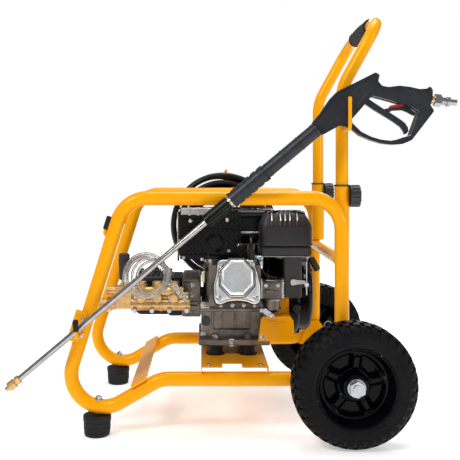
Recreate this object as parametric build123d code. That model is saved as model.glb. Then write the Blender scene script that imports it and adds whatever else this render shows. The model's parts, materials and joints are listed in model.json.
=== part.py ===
"""Petrol pressure washer: a tube frame on two wheels, engine, gearbox and triplex pump, with its gun and hose.

Millimetres, +Z up. It is drawn with X = 0 close to the wheel axle, the pump end towards -X, the gun side
towards -Y and the ground at Z = 0. finish() then moves it so that the origin is at the bottom centre.
"""

import os
from math import cos, radians, sin, tan

from build123d import *

# Frame and wheels
TUBE_R = 16
TUBE_WALL = 2
SIDE_Y = 210  # centreline of each side loop
TOP_Z = 522
LOWER_Z = 123
REAR_X = -16
BEND_R = 70
NOSE_BEND_R = 72
TOP_FRONT = (-495, TOP_Z)
KINK = (-416, LOWER_Z)
NOSE = (-665, -21)
FOOT_X = -556
FOOT_H = 45.5
AXLE_X = -5
AXLE_Z = 132.5
AXLE_R = 10
WHEEL_Y = 286
TYRE_R = 132.5
TYRE_W = 88
RIM_R = 84
HUB_HALF = 32
# Handle
HANDLE_Y = 178
HANDLE_X = -10
HANDLE_R = 14
HANDLE_FOOT_Z = 398
HANDLE_KNEE_Z = 769
HANDLE_TOP = (75, 924)
HANDLE_RISE = 160  # how far the handle draws up before it leaves its sockets
KNOB_Z = 526
CROSS_BAR_Z = 383
# Engine
CRANK_Y = 30
CRANK_Z = 279
CRANK_R = 12.5
BEARING_R = 12.55
DECK_Z = 153
ENGINE_Z = 175
CYLINDER_X = -250
CYLINDER_TILT = 15
BORE_R = 34
FAN_R = 106
MOUNTS_X = (-293, -217)
MOUNTS_Y = (-100, 62)
# Gearbox and pump
GEAR_MODULE = 2
PINION_TEETH = 16
WHEEL_TEETH = 35
PUMP_Y = CRANK_Y - GEAR_MODULE * (PINION_TEETH + WHEEL_TEETH) / 2
HEAD_Y = -104
INLET_Z = 271
UNLOADER = (-507, -108)
# Gun and lance, along a line that rises at LANCE_TILT in the plane Y = GUN_Y
GUN = (-75.5, 673)
GUN_Y = -250
LANCE_TILT = 40
LANCE_R = 6.5
HOOK_ROD_R = 4
TRIGGER_PIN = (118, -22)
LATCH_PIN = (137, -67)
PLUG_DIP = 7
# Hoses
HOSE_COIL = (-266, 261, 432)
HOSE_COIL_R = (78, 148)
HOSE_COIL_W = 56
DETERGENT_COIL = (-450, -150, 342)
DETERGENT_COIL_R = (34, 54)
DETERGENT_COIL_W = 18

BODIES = {}
SHAPES = {}
CORD_NODES = ["hose_coil", "hose_fittings", "detergent_coil", "detergent_strainer"]


def add(body, name, shape):
    """Registers one sub-part and the rigid body that it belongs to."""
    SHAPES[name] = shape
    BODIES.setdefault(body, []).append(name)


def block(x, y, z, r=0):
    """A box between two limits on each axis, with all its edges rounded."""
    low_high = (x, y, z)
    size = [high - low for low, high in low_high]
    middle = [(low + high) / 2 for low, high in low_high]
    solid = Pos(*middle) * Box(*size)
    return fillet(solid.edges(), r) if r else solid


def bar(start, along, r, length, hole=0):
    """A round bar or tube from its starting point."""
    disc = Circle(r) - Circle(hole) if hole else Circle(r)
    return extrude(Plane(origin=start, z_dir=along) * disc, amount=length)


def hexagon(start, along, across_flats, length):
    """A hexagon bar from its starting point."""
    flat = RegularPolygon(across_flats / 2, 6, major_radius=False)
    return extrude(Plane(origin=start, z_dir=along) * flat, amount=length)


def bent_bar(points, bends, r, wall=0, close=False):
    """A round bar or tube swept along straight runs joined by arcs."""
    path = FilletPolyline(*points, radius=bends, close=close)
    ring = Circle(r) - Circle(r - wall) if wall else Circle(r)
    return sweep(Plane(origin=path @ 0, z_dir=path % 0) * ring, path=path)


def slab(plane, outline, low, high, bends=0):
    """An outline in a plane, extruded from low to high along its normal."""
    wire = FilletPolyline(*outline, radius=bends, close=True) if bends else Polyline(*outline, close=True)
    return extrude(plane.offset(low) * make_face(wire), amount=high - low)


SIDE_VIEW = Plane(origin=(0, 0, 0), x_dir=(1, 0, 0), z_dir=(0, -1, 0))  # its height is -Y


def side_slab(outline, y, bends=0):
    """An outline of (x, z) points, extruded between two Y limits."""
    return slab(SIDE_VIEW, outline, -y[1], -y[0], bends)


def ring(centre, along, inner, outer, width):
    """A closed ring about its centre, with rounded edges."""
    start = Vector(*centre) - Vector(*along) * (width / 2)
    return bar(start, along, outer, width, inner)


# ---------------------------------------------------------------- frame


def side_loop(y):
    corners = [TOP_FRONT, (REAR_X, TOP_Z), (REAR_X, LOWER_Z), KINK, NOSE]
    points = [(x, y, z) for x, z in corners]
    return bent_bar(points, [BEND_R, BEND_R, BEND_R, BEND_R, NOSE_BEND_R], TUBE_R, TUBE_WALL, close=True)


def front_cross_plate():
    slope = radians(30)
    down = Vector(-cos(slope), 0, -sin(slope))
    up = Vector(-sin(slope), 0, cos(slope))
    middle = Vector(KINK[0], 0, KINK[1]) + down * 44 + up * (TUBE_R + 2.5)
    return Plane(origin=middle, x_dir=down, z_dir=up) * Box(38, 2 * SIDE_Y + 30, 5)


def frame():
    add("frame", "near_side_loop", side_loop(-SIDE_Y))
    add("frame", "far_side_loop", side_loop(SIDE_Y))
    inner = SIDE_Y - TUBE_R
    rear_bar = bar((REAR_X, -inner - 1, CROSS_BAR_Z), (0, 1, 0), 13, 2 * inner + 2, 11)
    add("frame", "cross_members", Part() + [front_cross_plate(), rear_bar])

    deck = block((-327, -178), (-SIDE_Y - 14, SIDE_Y + 14), (LOWER_Z + TUBE_R, DECK_Z))
    deck -= block((-324, -181), (-SIDE_Y - 15, SIDE_Y + 15), (LOWER_Z, DECK_Z - 3))
    deck -= block((-280, -236), (-SIDE_Y - 15, -SIDE_Y + 20), (LOWER_Z, DECK_Z + 1))
    deck += side_slab([(-195, 150), (-195, 244), (-108, 244), (-108, 176), (-130, 150)], (-122, -119))
    deck += block((-163, -118), (-122, -76.4), (241, 244))
    deck += block((-163, -118), (-79.4, -76.4), (241, 284))
    deck += block((-178, -130), (-122, 60), (150, DECK_Z))
    add("frame", "engine_base_plate", deck)

    cheek = [(-60, 112), (-20, 112), (15, 120), (15, 148), (-8, 178), (-30, 172)]
    plates = [side_slab(cheek, (y - 2.5, y + 2.5)) for y in (-inner + 2.5, inner - 2.5)]
    axle_hole = bar((AXLE_X, -SIDE_Y, AXLE_Z), (0, 1, 0), AXLE_R, 2 * SIDE_Y)
    sockets = [
        bar((HANDLE_X, y, 400), (0, 0, 1), 16.5, 148, HANDLE_R + 0.3) for y in (-HANDLE_Y, HANDLE_Y)
    ]
    stud_holes = [bar((0, y, KNOB_Z), (1, 0, 0), 4.3, 20) for y in (-HANDLE_Y, HANDLE_Y)]
    brackets = Part() + [plate - axle_hole for plate in plates]
    brackets += [socket - stud_holes for socket in sockets]
    add("frame", "frame_brackets", brackets)

    end = WHEEL_Y + HUB_HALF
    add("frame", "axle", bar((AXLE_X, -end - 18, AXLE_Z), (0, 1, 0), AXLE_R, 2 * end + 36))
    nuts = Part()
    for side in (-1, 1):
        nuts += bar((AXLE_X, side * (end + 0.4), AXLE_Z), (0, side, 0), 19, 2.6, AXLE_R)
        nut = hexagon((AXLE_X, side * (end + 3), AXLE_Z), (0, side, 0), 30, 12)
        nuts += nut - bar((AXLE_X, side * (end + 3), AXLE_Z), (0, side, 0), AXLE_R, 12)
    add("frame", "axle_nuts", nuts)

    feet = Part()
    for y in (-SIDE_Y, SIDE_Y):
        feet += bar((FOOT_X, y, 0), (0, 0, 1), 29, 8)
        feet += bar((FOOT_X, y, 8), (0, 0, 1), 31, FOOT_H - 8)
    add("frame", "rubber_feet", feet)
    add("frame", "accessory_hooks", accessory_hooks())

    studs = Part()
    for x in MOUNTS_X:
        for y in MOUNTS_Y:
            studs += bar((x, y, DECK_Z), (0, 0, 1), 20, ENGINE_Z - DECK_Z)
    add("frame", "engine_mounts", studs)


def lance_z(x):
    """The height of the lance's centreline at x."""
    return GUN[1] + (x - GUN[0]) * tan(radians(LANCE_TILT))


def accessory_hooks():
    """The lance rest on the near front leg, the hose hanger on the far top tube and two line hooks."""
    leg = Vector(TOP_FRONT[0] - NOSE[0], 0, TOP_FRONT[1] - NOSE[1]).normalized()
    face = -SIDE_Y - TUBE_R
    strip_place = Plane(origin=(-597, face - 2, 243), x_dir=leg, z_dir=(0, -1, 0))
    strip = strip_place * Box(70, 26, 4)
    rod_x = -591
    under = lance_z(rod_x) - (LANCE_R + HOOK_ROD_R + 0.5) / cos(radians(LANCE_TILT))
    rest = [(rod_x, face - 4, under), (rod_x, -273, under), (rod_x - 3, -273, under + 36)]
    hanger_z = HOSE_COIL[2] + HOSE_COIL_R[0] - HOOK_ROD_R - 1
    far = HOSE_COIL[1] + HOSE_COIL_W / 2 + 8
    hanger = [(-266, SIDE_Y, hanger_z), (-266, far, hanger_z), (-256, far, 588)]
    line_hooks = []
    for y in (-SIDE_Y, SIDE_Y):
        root = Vector(-522, y, 435)
        out = Vector(-leg.Z, 0, leg.X) * 20
        line_hooks.append(bent_bar([root, root + out, root + out + leg * 40], 8, HOOK_ROD_R))
    parts = [strip, bent_bar(rest, 9, HOOK_ROD_R), bent_bar(hanger, 10, HOOK_ROD_R), *line_hooks]
    return Part() + parts


# ---------------------------------------------------------------- wheels


def wheel_profile(points, y):
    """A turned part about the axle, from (radius, offset from the wheel's middle) points."""
    outline = Polyline(*[(AXLE_X, y + offset, AXLE_Z + r) for r, offset in points], close=True)
    return revolve(make_face(outline), axis=Axis((AXLE_X, 0, AXLE_Z), (0, 1, 0)))


def wheel(name, y, outward):
    half = TYRE_W / 2
    tyre = bar((AXLE_X, y - half, AXLE_Z), (0, 1, 0), TYRE_R, TYRE_W, RIM_R)
    shoulders = tyre.edges().filter_by(GeomType.CIRCLE).group_by(SortBy.RADIUS)[-1]
    tyre = fillet(shoulders, 25)
    tyre -= bar((AXLE_X, y - 30, AXLE_Z), (0, 1, 0), 122, 60, RIM_R - 1)
    rim = [(RIM_R, -40), (RIM_R, 40), (81, 40), (81, 4), (30, -6), (30, -10), (77, -1), (81, -2), (81, -40)]
    dish = [(r, offset * outward) for r, offset in rim]
    disc = wheel_profile(dish, y)
    disc += bar((AXLE_X, y - HUB_HALF, AXLE_Z), (0, 1, 0), 31, 2 * HUB_HALF, AXLE_R + 0.05)
    add(f"{name}_wheel", f"{name}_tyre", tyre)
    add(f"{name}_wheel", f"{name}_rim", disc)


# ---------------------------------------------------------------- handle


def handle():
    x, z = HANDLE_TOP
    leg = [(HANDLE_X, HANDLE_FOOT_Z), (HANDLE_X, HANDLE_KNEE_Z), (x, z)]
    near = [(px, -HANDLE_Y, pz) for px, pz in leg]
    far = [(px, HANDLE_Y, pz) for px, pz in reversed(leg)]
    add("handle", "push_handle", bent_bar([*near, *far], [110, 52, 52, 110], HANDLE_R, TUBE_WALL))

    half = 84
    bulge = ThreePointArc((x, -half, z + 17), (x, 0, z + 19.5), (x, half, z + 17))
    inside = Polyline((x, half, z + 17), (x, half, z + HANDLE_R), (x, -half, z + HANDLE_R), (x, -half, z + 17))
    add("handle", "handle_grip", revolve(make_face(bulge + inside), axis=Axis((x, 0, z), (0, 1, 0))))

    hook_z = 670.5
    hook_x = -12
    hook_y = -284
    start = (hook_x, -HANDLE_Y - HANDLE_R + 1, hook_z)
    add("handle", "gun_hook", bent_bar([start, (hook_x, hook_y, hook_z), (hook_x, hook_y, 738)], 9, HOOK_ROD_R))

    lobes = 10
    for name, y in (("near", -HANDLE_Y), ("far", HANDLE_Y)):
        knob = bar((7, y, KNOB_Z), (1, 0, 0), 25, 22)
        for i in range(lobes):
            turn = radians(360 * i / lobes)
            knob -= bar((10, y + 29 * cos(turn), KNOB_Z + 29 * sin(turn)), (1, 0, 0), 6, 24)
        knob += bar((HANDLE_X + HANDLE_R + 0.3, y, KNOB_Z), (1, 0, 0), 4, 3)
        add(f"{name}_knob", f"{name}_handle_knob", knob)


# ---------------------------------------------------------------- engine

CYLINDER_AXIS = (0, -cos(radians(CYLINDER_TILT)), sin(radians(CYLINDER_TILT)))
CYLINDER = Plane(origin=(CYLINDER_X, CRANK_Y, CRANK_Z), x_dir=(1, 0, 0), z_dir=CYLINDER_AXIS)


def crankcase():
    case = block((-327, -172), (-82, 115), (187, 275), 10)
    case += block((-322, -176), (-52, 112), (240, 350), 14)
    case += block((-333, -166), (-118, 84), (ENGINE_Z, 190), 4)
    for x, y in ((-300, 60), (-200, 60), (-250, 95)):
        case += bar((x, y, 340), (0, 0, 1), 9, 61)
    case -= bar((-327, CRANK_Y, CRANK_Z), (1, 0, 0), 46, 143)
    case -= bar((-200, CRANK_Y, CRANK_Z), (1, 0, 0), BEARING_R, 40)
    case -= extrude(CYLINDER.offset(30) * Circle(BORE_R), amount=90)
    case -= bar((-316, -83, 228), (0, 1, 0), 8.05, 16)
    return case


def cylinder(case):
    body = extrude(CYLINDER.offset(60) * Rectangle(96, 72), amount=146)
    for i in range(11):
        grow = 0 if i < 6 else 4
        fin = Pos(0, -8, 0) * Rectangle(114 + grow, 92)
        body += extrude(CYLINDER.offset(116 + 8 * i) * fin, amount=3)
    body -= extrude(CYLINDER.offset(30) * Circle(BORE_R), amount=135)
    return body - case


def rocker_cover():
    place = CYLINDER.offset(206) * Pos(0, -8, 0)
    cover = extrude(place * RectangleRounded(105, 98, 14), amount=20)
    cover = fillet(cover.faces().sort_by(Axis.Y)[0].edges(), 5)
    boss = chamfer(RegularPolygon(34, 8, major_radius=False).vertices(), 1)
    cover += extrude(place * Rot(0, 0, 22.5) * boss, amount=26)
    for sx in (-1, 1):
        for sy in (-1, 1):
            cover += extrude(place * Pos(41 * sx, 38 * sy, 0) * Circle(8), amount=23)
    return cover


def engine():
    case = crankcase()
    add("frame", "crankcase", case)
    add("frame", "cylinder", cylinder(case))
    add("frame", "rocker_cover", rocker_cover())
    add("frame", "muffler", block((-374, -242), (-100, -18), (376, 490), 14))
    shield = block((-380, -236), (-112, -60), (370, 496), 10)
    shield -= block((-377, -239), (-109, -50), (373, 493))
    add("frame", "heat_shield", shield)

    tank = block((-370, -130), (-10, 165), (401, 488), 22)
    tank -= block((-367, -133), (-7, 162), (404, 485), 19)
    tank += bar((-197, 50, 485), (0, 0, 1), 22, 13)
    tank -= bar((-197, 50, 470), (0, 0, 1), 18, 40)
    add("frame", "fuel_tank", tank)
    cap = bar((-197, 50, 490), (0, 0, 1), 32, 15)
    cap -= bar((-197, 50, 480), (0, 0, 1), 22.4, 18.5)
    add("fuel_cap", "fuel_cap", fillet(cap.faces().sort_by(Axis.Z)[-1].edges(), 3))

    base = block((-188, -70), (-126, -20), (383, 408), 6)
    base += block((-134, -92), (-116, -78), (286, 390), 5)
    base += block((-94, -74), (-104, -100), (308, 324))
    add("frame", "air_filter_base", base)
    lid = [(-188, 408), (-68, 408), (-68, 452), (-98, 488), (-172, 488), (-188, 474)]
    cover = side_slab(lid, (-128, -18), [2, 2, 12, 12, 8, 8])
    inner = [(-185, 407), (-71, 407), (-71, 450), (-100, 485), (-171, 485), (-185, 472)]
    cover -= side_slab(inner, (-125, -21))
    add("frame", "air_filter_cover", cover)

    carb = block((-188, -134), (-118, -80), (284, 326), 4)
    carb += bar((-160, -99, 258), (0, 0, 1), 19, 28)
    carb += bar((-160, -99, 250), (0, 0, 1), 5, 9)
    add("frame", "carburettor", carb)

    fan = bar((-165.5, CRANK_Y, CRANK_Z), (1, 0, 0), FAN_R, 77.5)
    fan = fillet(fan.faces().sort_by(Axis.X)[-1].edges(), 12)
    fan -= bar((-168, CRANK_Y, CRANK_Z), (1, 0, 0), FAN_R - 3, 74)
    fan -= bar((-100, CRANK_Y, CRANK_Z), (1, 0, 0), 70, 20)
    fan += block((-112, -90), (-76, -60), (244, 268))
    fan -= bar((-100, -80, 256), (0, 1, 0), 4.1, 30)
    add("frame", "fan_cover", fan)
    recoil = bar((-88, CRANK_Y, CRANK_Z), (1, 0, 0), 92, 32)
    recoil = fillet(recoil.faces().sort_by(Axis.X)[-1].edges(), 14)
    recoil -= bar((-88, CRANK_Y, CRANK_Z), (1, 0, 0), 70, 28)
    add("frame", "recoil_housing", recoil)

    boot = bar((-212, -146, 371.5), (0, 0, 1), 8, 30)
    lead = [(-212, -146, 398), (-212, -146, 418), (-212, -118, 424), (-208, -66, 400), (-196, -42, 377)]
    lead += [(-150, -24, 377)]
    add("frame", "spark_plug_lead", boot + bent_bar(lead, [10, 12, 20, 16], 3.5))
    controls()
    crankshaft()


def controls():
    """The levers, switch, oil plug and starter grip that a hand moves."""
    choke = slab(SIDE_VIEW, [(-118, 317), (-84, 320), (-84, 327), (-118, 330)], 118, 121, 2)
    choke += bar((-112, -116.3, 323.5), (0, -1, 0), 7, 6)
    add("choke_lever", "choke_lever", choke)
    fuel = slab(SIDE_VIEW, [(-176, 294), (-146, 296), (-146, 303), (-176, 306)], 120, 123, 2)
    fuel += bar((-172, -118.3, 300), (0, -1, 0), 6, 7)
    add("fuel_lever", "fuel_lever", fuel)
    throttle = bar((-80, -104.3, 316), (0, -1, 0), 5, 6)
    throttle += bar((-80, -107, 292), (0, 0, 1), 1.6, 78)
    add("throttle_lever", "throttle_lever", throttle)
    switch = bar((-100, -90, 256), (0, 1, 0), 10, 13.6)
    switch += block((-103, -97), (-98, -88), (247, 265))
    switch += bar((-100, -77, 256), (0, 1, 0), 4, 20)
    add("engine_switch", "engine_switch", switch)
    plug = bar((-316, -82.4, 228), (0, -1, 0), 11, 13)
    plug += bar((-316, -83, 228), (0, 1, 0), 8, 14)
    add("oil_plug", "oil_plug", plug)
    along = Vector(0.5, 0, -0.866)
    grip = bar(Vector(-56, -66, 360) - along * 18, along, 8, 36)
    grip = fillet(grip.edges().filter_by(GeomType.CIRCLE), 4)
    add("recoil_grip", "recoil_grip", grip)


def gear(origin, teeth, width, first):
    """A spur gear along +X with straight-sided teeth; first is the angle of its first tooth."""
    pitch_r = GEAR_MODULE * teeth / 2
    root_r = pitch_r - 2.6
    tooth = Polyline((root_r - 1, -2.0), (pitch_r, -1.15), (pitch_r + 1.6, -0.55), (pitch_r + 1.6, 0.55),
                     (pitch_r, 1.15), (root_r - 1, 2.0), close=True)
    outline = Circle(root_r)
    for i in range(teeth):
        outline += Rot(0, 0, first + 360 * i / teeth) * make_face(tooth)
    place = Plane(origin=origin, x_dir=(0, 1, 0), z_dir=(1, 0, 0))
    return extrude(place * outline, amount=width)


def crankshaft():
    shaft = bar((-362, CRANK_Y, CRANK_Z), (1, 0, 0), CRANK_R, 258)
    for x in (-276, -236):
        shaft += bar((x, CRANK_Y, CRANK_Z), (1, 0, 0), 42, 12)
    shaft += bar((-152, CRANK_Y, CRANK_Z), (1, 0, 0), 86, 22)
    blades = 14
    for i in range(blades):
        turn = Plane(origin=(-130, CRANK_Y, CRANK_Z), x_dir=(0, 1, 0), z_dir=(1, 0, 0)) * Rot(0, 0, 360 * i / blades)
        shaft += turn * Pos(70, 0, 12) * Box(26, 3, 24)
    shaft += gear((-360, CRANK_Y, CRANK_Z), PINION_TEETH, 14, 180)
    add("crankshaft", "crankshaft", shaft)


# ---------------------------------------------------------------- gearbox and pump


def pump():
    box = block((-372, -327.5), (-72, 79), (235, 328), 5)
    box -= block((-367, -334), (-64, 66), (240.5, 321))
    box -= bar((-340, CRANK_Y, CRANK_Z), (1, 0, 0), BEARING_R, 20)
    box -= bar((-380, PUMP_Y, CRANK_Z), (1, 0, 0), BEARING_R, 15)
    for i in range(4):
        box += block((-366 + 9 * i, -363 + 9 * i), (-75, -70), (241, 322))
    add("frame", "gearbox_housing", box)

    case = block((-486, -390), (PUMP_Y - 54, PUMP_Y + 66), (238, 332), 16)
    case += block((-404, -372), (PUMP_Y - 50, PUMP_Y + 62), (236, 328), 4)
    for i in range(7):
        case += block((-480 + 12 * i, -476 + 12 * i), (PUMP_Y - 44, PUMP_Y + 56), (300, 337), 1)
    case -= bar((-478, PUMP_Y, CRANK_Z), (1, 0, 0), 35, 106)
    case -= bar((-484, PUMP_Y, CRANK_Z), (1, 0, 0), BEARING_R, 20)
    add("frame", "pump_crankcase", case)
    shaft = bar((-483, PUMP_Y, CRANK_Z), (1, 0, 0), CRANK_R, 136)
    for i in range(3):
        turn = radians(120 * i)
        shaft += bar((-470 + 30 * i, PUMP_Y + 9 * cos(turn), CRANK_Z + 9 * sin(turn)), (1, 0, 0), 26, 16)
    shaft += gear((-360, PUMP_Y, CRANK_Z), WHEEL_TEETH, 14, 180)
    add("pump_shaft", "pump_shaft", shaft)

    add("frame", "pump_head", pump_head())
    add("frame", "unloader_body", unloader())
    x, y = UNLOADER
    knob = bar((x, y, 328), (0, 0, 1), 13, 62) - bar((x, y, 328), (0, 0, 1), 5.05, 24)
    knob = fillet(knob.edges().group_by(Axis.Z)[-1], 3)
    add("unloader_knob", "unloader_knob", knob)


def pump_head():
    head = block((-487, -357), (HEAD_Y - 12, PUMP_Y - 54.5), (262, 300))
    head += bar((-487, HEAD_Y - 14, INLET_Z), (1, 0, 0), 13, 134)
    head += bar((-484, HEAD_Y - 7, 300), (1, 0, 0), 12, 116)
    for i in range(3):
        x = -466 + 38 * i
        head += bar((x, HEAD_Y - 4, 290), (0, 0, 1), 14, 26)
        head += hexagon((x, HEAD_Y - 4, 316), (0, 0, 1), 22, 8)
        head += hexagon((x, HEAD_Y - 10, 287), (0, -1, 0), 19, 17)
    for i in range(4):
        head += hexagon((-480 + 40 * i, HEAD_Y - 16, 260), (0, -1, 0), 8, 14)
    return head


def unloader():
    x, y = UNLOADER
    body = block((x - 20, -487.5), (y - 18, y + 16), (262, 314), 3)
    body += bar((x, y, 312), (0, 0, 1), 10, 8) + bar((x, y, 312), (0, 0, 1), 5, 38)
    body += bar((x - 18, y - 3, INLET_Z), (-1, 0, 0), 13, 44)
    body += hexagon((x - 28, y - 3, INLET_Z), (-1, 0, 0), 30, 12)
    body -= bar((x - 63, y - 3, INLET_Z), (1, 0, 0), 8, 30)
    body += bar((x - 18, y - 3, 303), (-1, 0, 0), 10, 22) - bar((x - 41, y - 3, 303), (1, 0, 0), 5, 16)
    body += bar((x + 8, y - 17, 304), (0, -1, 0), 4, 26)
    return body


# ---------------------------------------------------------------- gun and lance

LANCE_DIR = Vector(cos(radians(LANCE_TILT)), 0, sin(radians(LANCE_TILT)))
GUN_PLANE = Plane(origin=(GUN[0], GUN_Y, GUN[1]), x_dir=LANCE_DIR, z_dir=(0, -1, 0))


def gun_point(u, v, w=0):
    """A point from the gun's own axes: along the lance, across it, and towards -Y."""
    return GUN_PLANE.from_local_coords(Vector(u, v, w))


def along_lance(start, end, r, hole=0):
    return bar(gun_point(start, 0), LANCE_DIR, r, end - start, hole)


SHELL = [(-2, 17), (22, 21), (62, 32), (84, 34), (128, 23), (171, 13), (174, 3), (163, -5), (163, -18),
         (172, -29), (192, -42), (207, -58), (220, -75), (232, -84), (242, -85), (240, -95), (227, -110),
         (216, -115), (214, -131), (137, -148), (117, -142), (99, -129), (83, -112), (70, -92), (59, -70),
         (54, -42), (40, -25), (-2, -17)]
SHELL_BENDS = [3, 20, 20, 14, 20, 5, 4, 5, 8, 12, 14, 20, 12, 5, 4, 4, 6, 4, 5, 12, 14, 14, 16, 16, 16, 16, 8, 3]
HAND_GAP = [(132, -20), (98, -26), (66, -31), (62, -38), (64.5, -64), (74, -86), (86, -104), (100, -119),
            (112, -126), (128, -132), (139, -138), (144, -137), (178, -117), (188, -111), (180, -89),
            (166, -69), (152, -48)]
HAND_BENDS = [4, 10, 3, 4, 14, 14, 14, 14, 10, 8, 2, 2, 6, 5, 14, 16, 16]
LATCH_SLOT = [(134, -28), (147, -50), (161, -71), (174, -91), (181, -112), (204, -104), (199, -82), (174, -38),
              (146, -12)]
TRIGGER_SLOT = [(100, -36), (138, -24), (146, -12), (128, -6), (104, -8)]
TRIGGER = [(112, -26), (119, -50), (127, -74), (135, -99), (138, -113), (137, -123), (134, -131), (145, -130),
           (149.5, -123), (151, -112), (148, -98), (141, -75), (137, -64), (130, -41), (124, -20)]
TRIGGER_BENDS = [2, 12, 20, 16, 8, 8, 2, 2, 4, 10, 14, 14, 14, 20, 2]


def gun():
    outline = make_face(FilletPolyline(*SHELL, radius=SHELL_BENDS, close=True))
    shell = extrude(GUN_PLANE * outline, amount=12)
    shell += extrude(GUN_PLANE.offset(12) * offset(outline, -2.5), amount=3)
    shell += extrude(GUN_PLANE.offset(15) * offset(outline, -6), amount=2)
    shell -= slab(GUN_PLANE, HAND_GAP, -1, 18, HAND_BENDS)
    shell -= slab(GUN_PLANE, LATCH_SLOT, -1, 6.5)
    shell -= slab(GUN_PLANE, TRIGGER_SLOT, -1, 6.5)
    shell -= along_lance(-4, 96, 8.1)
    tail = Vector(cos(radians(PLUG_DIP)), 0, -sin(radians(PLUG_DIP)))
    port = Vector(146, GUN_Y, 738)
    shell -= bar(port, tail, 8, 40)
    pin = bar(gun_point(*TRIGGER_PIN, -12), (0, -1, 0), 3, 24)
    shell -= pin
    add("gun", "gun_shell_near", shell)
    far_shell = mirror(shell, Plane(origin=(0, GUN_Y, 0), z_dir=(0, 1, 0)))
    add("gun", "gun_shell_far", far_shell + pin)  # the trigger turns on its moulded post

    core = along_lance(-278, 94, 7.9) + along_lance(-300, -243, 10.9)
    add("gun", "lance_tube", core - along_lance(-301, 95, 4))
    sleeve = along_lance(-243, -152, 18, 8) + along_lance(-152, -2.5, 15.5, 8)
    for i in range(5):
        sleeve -= along_lance(-236 + 18 * i, -231 + 18 * i, 20, 16.5)
    add("gun", "lance_grip", sleeve)
    add("gun", "lance", along_lance(-838, -300.3, LANCE_R, 4.5) + along_lance(-311, -300.3, 10.9, 4.5))
    tip = along_lance(-868, -838, 7, 2) + along_lance(-876, -868, 5.2, 2)
    tip += hexagon(gun_point(-846, 0), LANCE_DIR, 17, 8) - along_lance(-847, -837, 2)
    add("gun", "spray_nozzle", tip)
    ring_part = along_lance(-866, -851, 10.5, 7.06)
    for i in range(20):
        turn = GUN_PLANE.z_dir * sin(radians(18 * i)) + GUN_PLANE.y_dir * cos(radians(18 * i))
        ring_part -= bar(gun_point(-864, 0) + turn * 11, LANCE_DIR, 0.9, 11)
    add("nozzle_collar", "nozzle_collar", ring_part)

    collar = along_lance(-309, -249, 16, 11)
    for i in range(16):
        turn = GUN_PLANE.z_dir * sin(radians(22.5 * i)) + GUN_PLANE.y_dir * cos(radians(22.5 * i))
        collar -= bar(gun_point(-304, 0) + turn * 17, LANCE_DIR, 2.2, 50)
    collar += along_lance(-315, -311.5, 12, LANCE_R + 0.06) + along_lance(-312, -308.5, 16, 11)
    add("lance_collar", "lance_collar", collar)

    plug = bar(port, tail, 7.9, 30) + hexagon(port + tail * 30, tail, 24, 14)
    plug += bar(port + tail * 44, tail, 8, 14) + bar(port + tail * 57, tail, 11, 6)
    plug += bar(port + tail * 62, tail, 7, 16)
    add("gun", "hose_plug", plug - bar(port, tail, 3, 80))

    trigger = slab(GUN_PLANE, TRIGGER, -5, 5, TRIGGER_BENDS)
    trigger += bar(gun_point(*TRIGGER_PIN, -5), (0, -1, 0), 7, 10)
    trigger -= bar(gun_point(*TRIGGER_PIN, -14), (0, -1, 0), 3.06, 28)
    trigger += bar(gun_point(*LATCH_PIN, -5), (0, -1, 0), 6.5, 10)
    trigger -= slab(GUN_PLANE, [(127, -57), (165, -57), (165, -84), (135, -84)], -3.3, 3.3)
    trigger += bar(gun_point(*LATCH_PIN, -5), (0, -1, 0), 2, 10)
    add("trigger", "trigger", trigger)
    arm = [(138, -71.5), (135, -63), (151, -64.5), (173, -77.5), (179, -90), (182, -109), (176, -113),
           (169, -96), (164, -86.5), (147, -73.5)]
    latch = slab(GUN_PLANE, arm, -3, 3, [2, 2, 6, 6, 6, 2, 2, 5, 5, 4])
    latch += bar(gun_point(*LATCH_PIN, -3), (0, -1, 0), 4.5, 6)
    add("safety_latch", "safety_latch", latch - bar(gun_point(*LATCH_PIN, -4), (0, -1, 0), 2.06, 8))


# ---------------------------------------------------------------- hoses, as plain closed solids


def hoses():
    inner, outer = HOSE_COIL_R
    add("frame", "hose_coil", ring(HOSE_COIL, (0, 1, 0), inner, outer, HOSE_COIL_W))
    x, y, z = HOSE_COIL
    low = z - inner + 12
    fittings = Part()
    for start, side in ((x - 50, y - 14), (x - 12, y + 14)):
        fittings += bar((start, side, low), (1, 0, 0), 8, 30) + bar((start + 30, side, low), (1, 0, 0), 11, 26)
    add("frame", "hose_fittings", fittings)
    inner, outer = DETERGENT_COIL_R
    add("frame", "detergent_coil", ring(DETERGENT_COIL, (0, 1, 0), inner, outer, DETERGENT_COIL_W))
    x, y, z = DETERGENT_COIL
    add("frame", "detergent_strainer", bar((x + 57, y, z - 18), (0.66, 0, -0.75), 8, 50))


def build():
    frame()
    wheel("near", -WHEEL_Y, -1)
    wheel("far", WHEEL_Y, 1)
    handle()
    engine()
    pump()
    gun()
    hoses()


def middle_x():
    """The X of the object's middle, without the loose hoses."""
    boxes = [shape.bounding_box() for name, shape in SHAPES.items() if name not in CORD_NODES]
    return (min(b.min.X for b in boxes) + max(b.max.X for b in boxes)) / 2


def finish():
    """Moves everything to the bottom centre origin and writes one file for each sub-part."""
    os.makedirs("parts", exist_ok=True)
    shift = -middle_x()
    for name, shape in SHAPES.items():
        SHAPES[name] = Pos(shift, 0, 0) * shape
        export_step(SHAPES[name], f"parts/{name}.step")
    return shift


build()
SHIFT_X = finish()
print("moved along X by", round(SHIFT_X, 3), "sub-parts", len(SHAPES))
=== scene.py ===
"""The petrol pressure washer's looks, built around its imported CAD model.

Lengths below are the CAD source's millimetres, with X = 0 close to the wheel axle. point() turns them into
the row frame's metres.
"""

import json
from math import cos, pi, radians, sin

import bmesh
import bpy
from mathutils import Matrix, Vector


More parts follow.
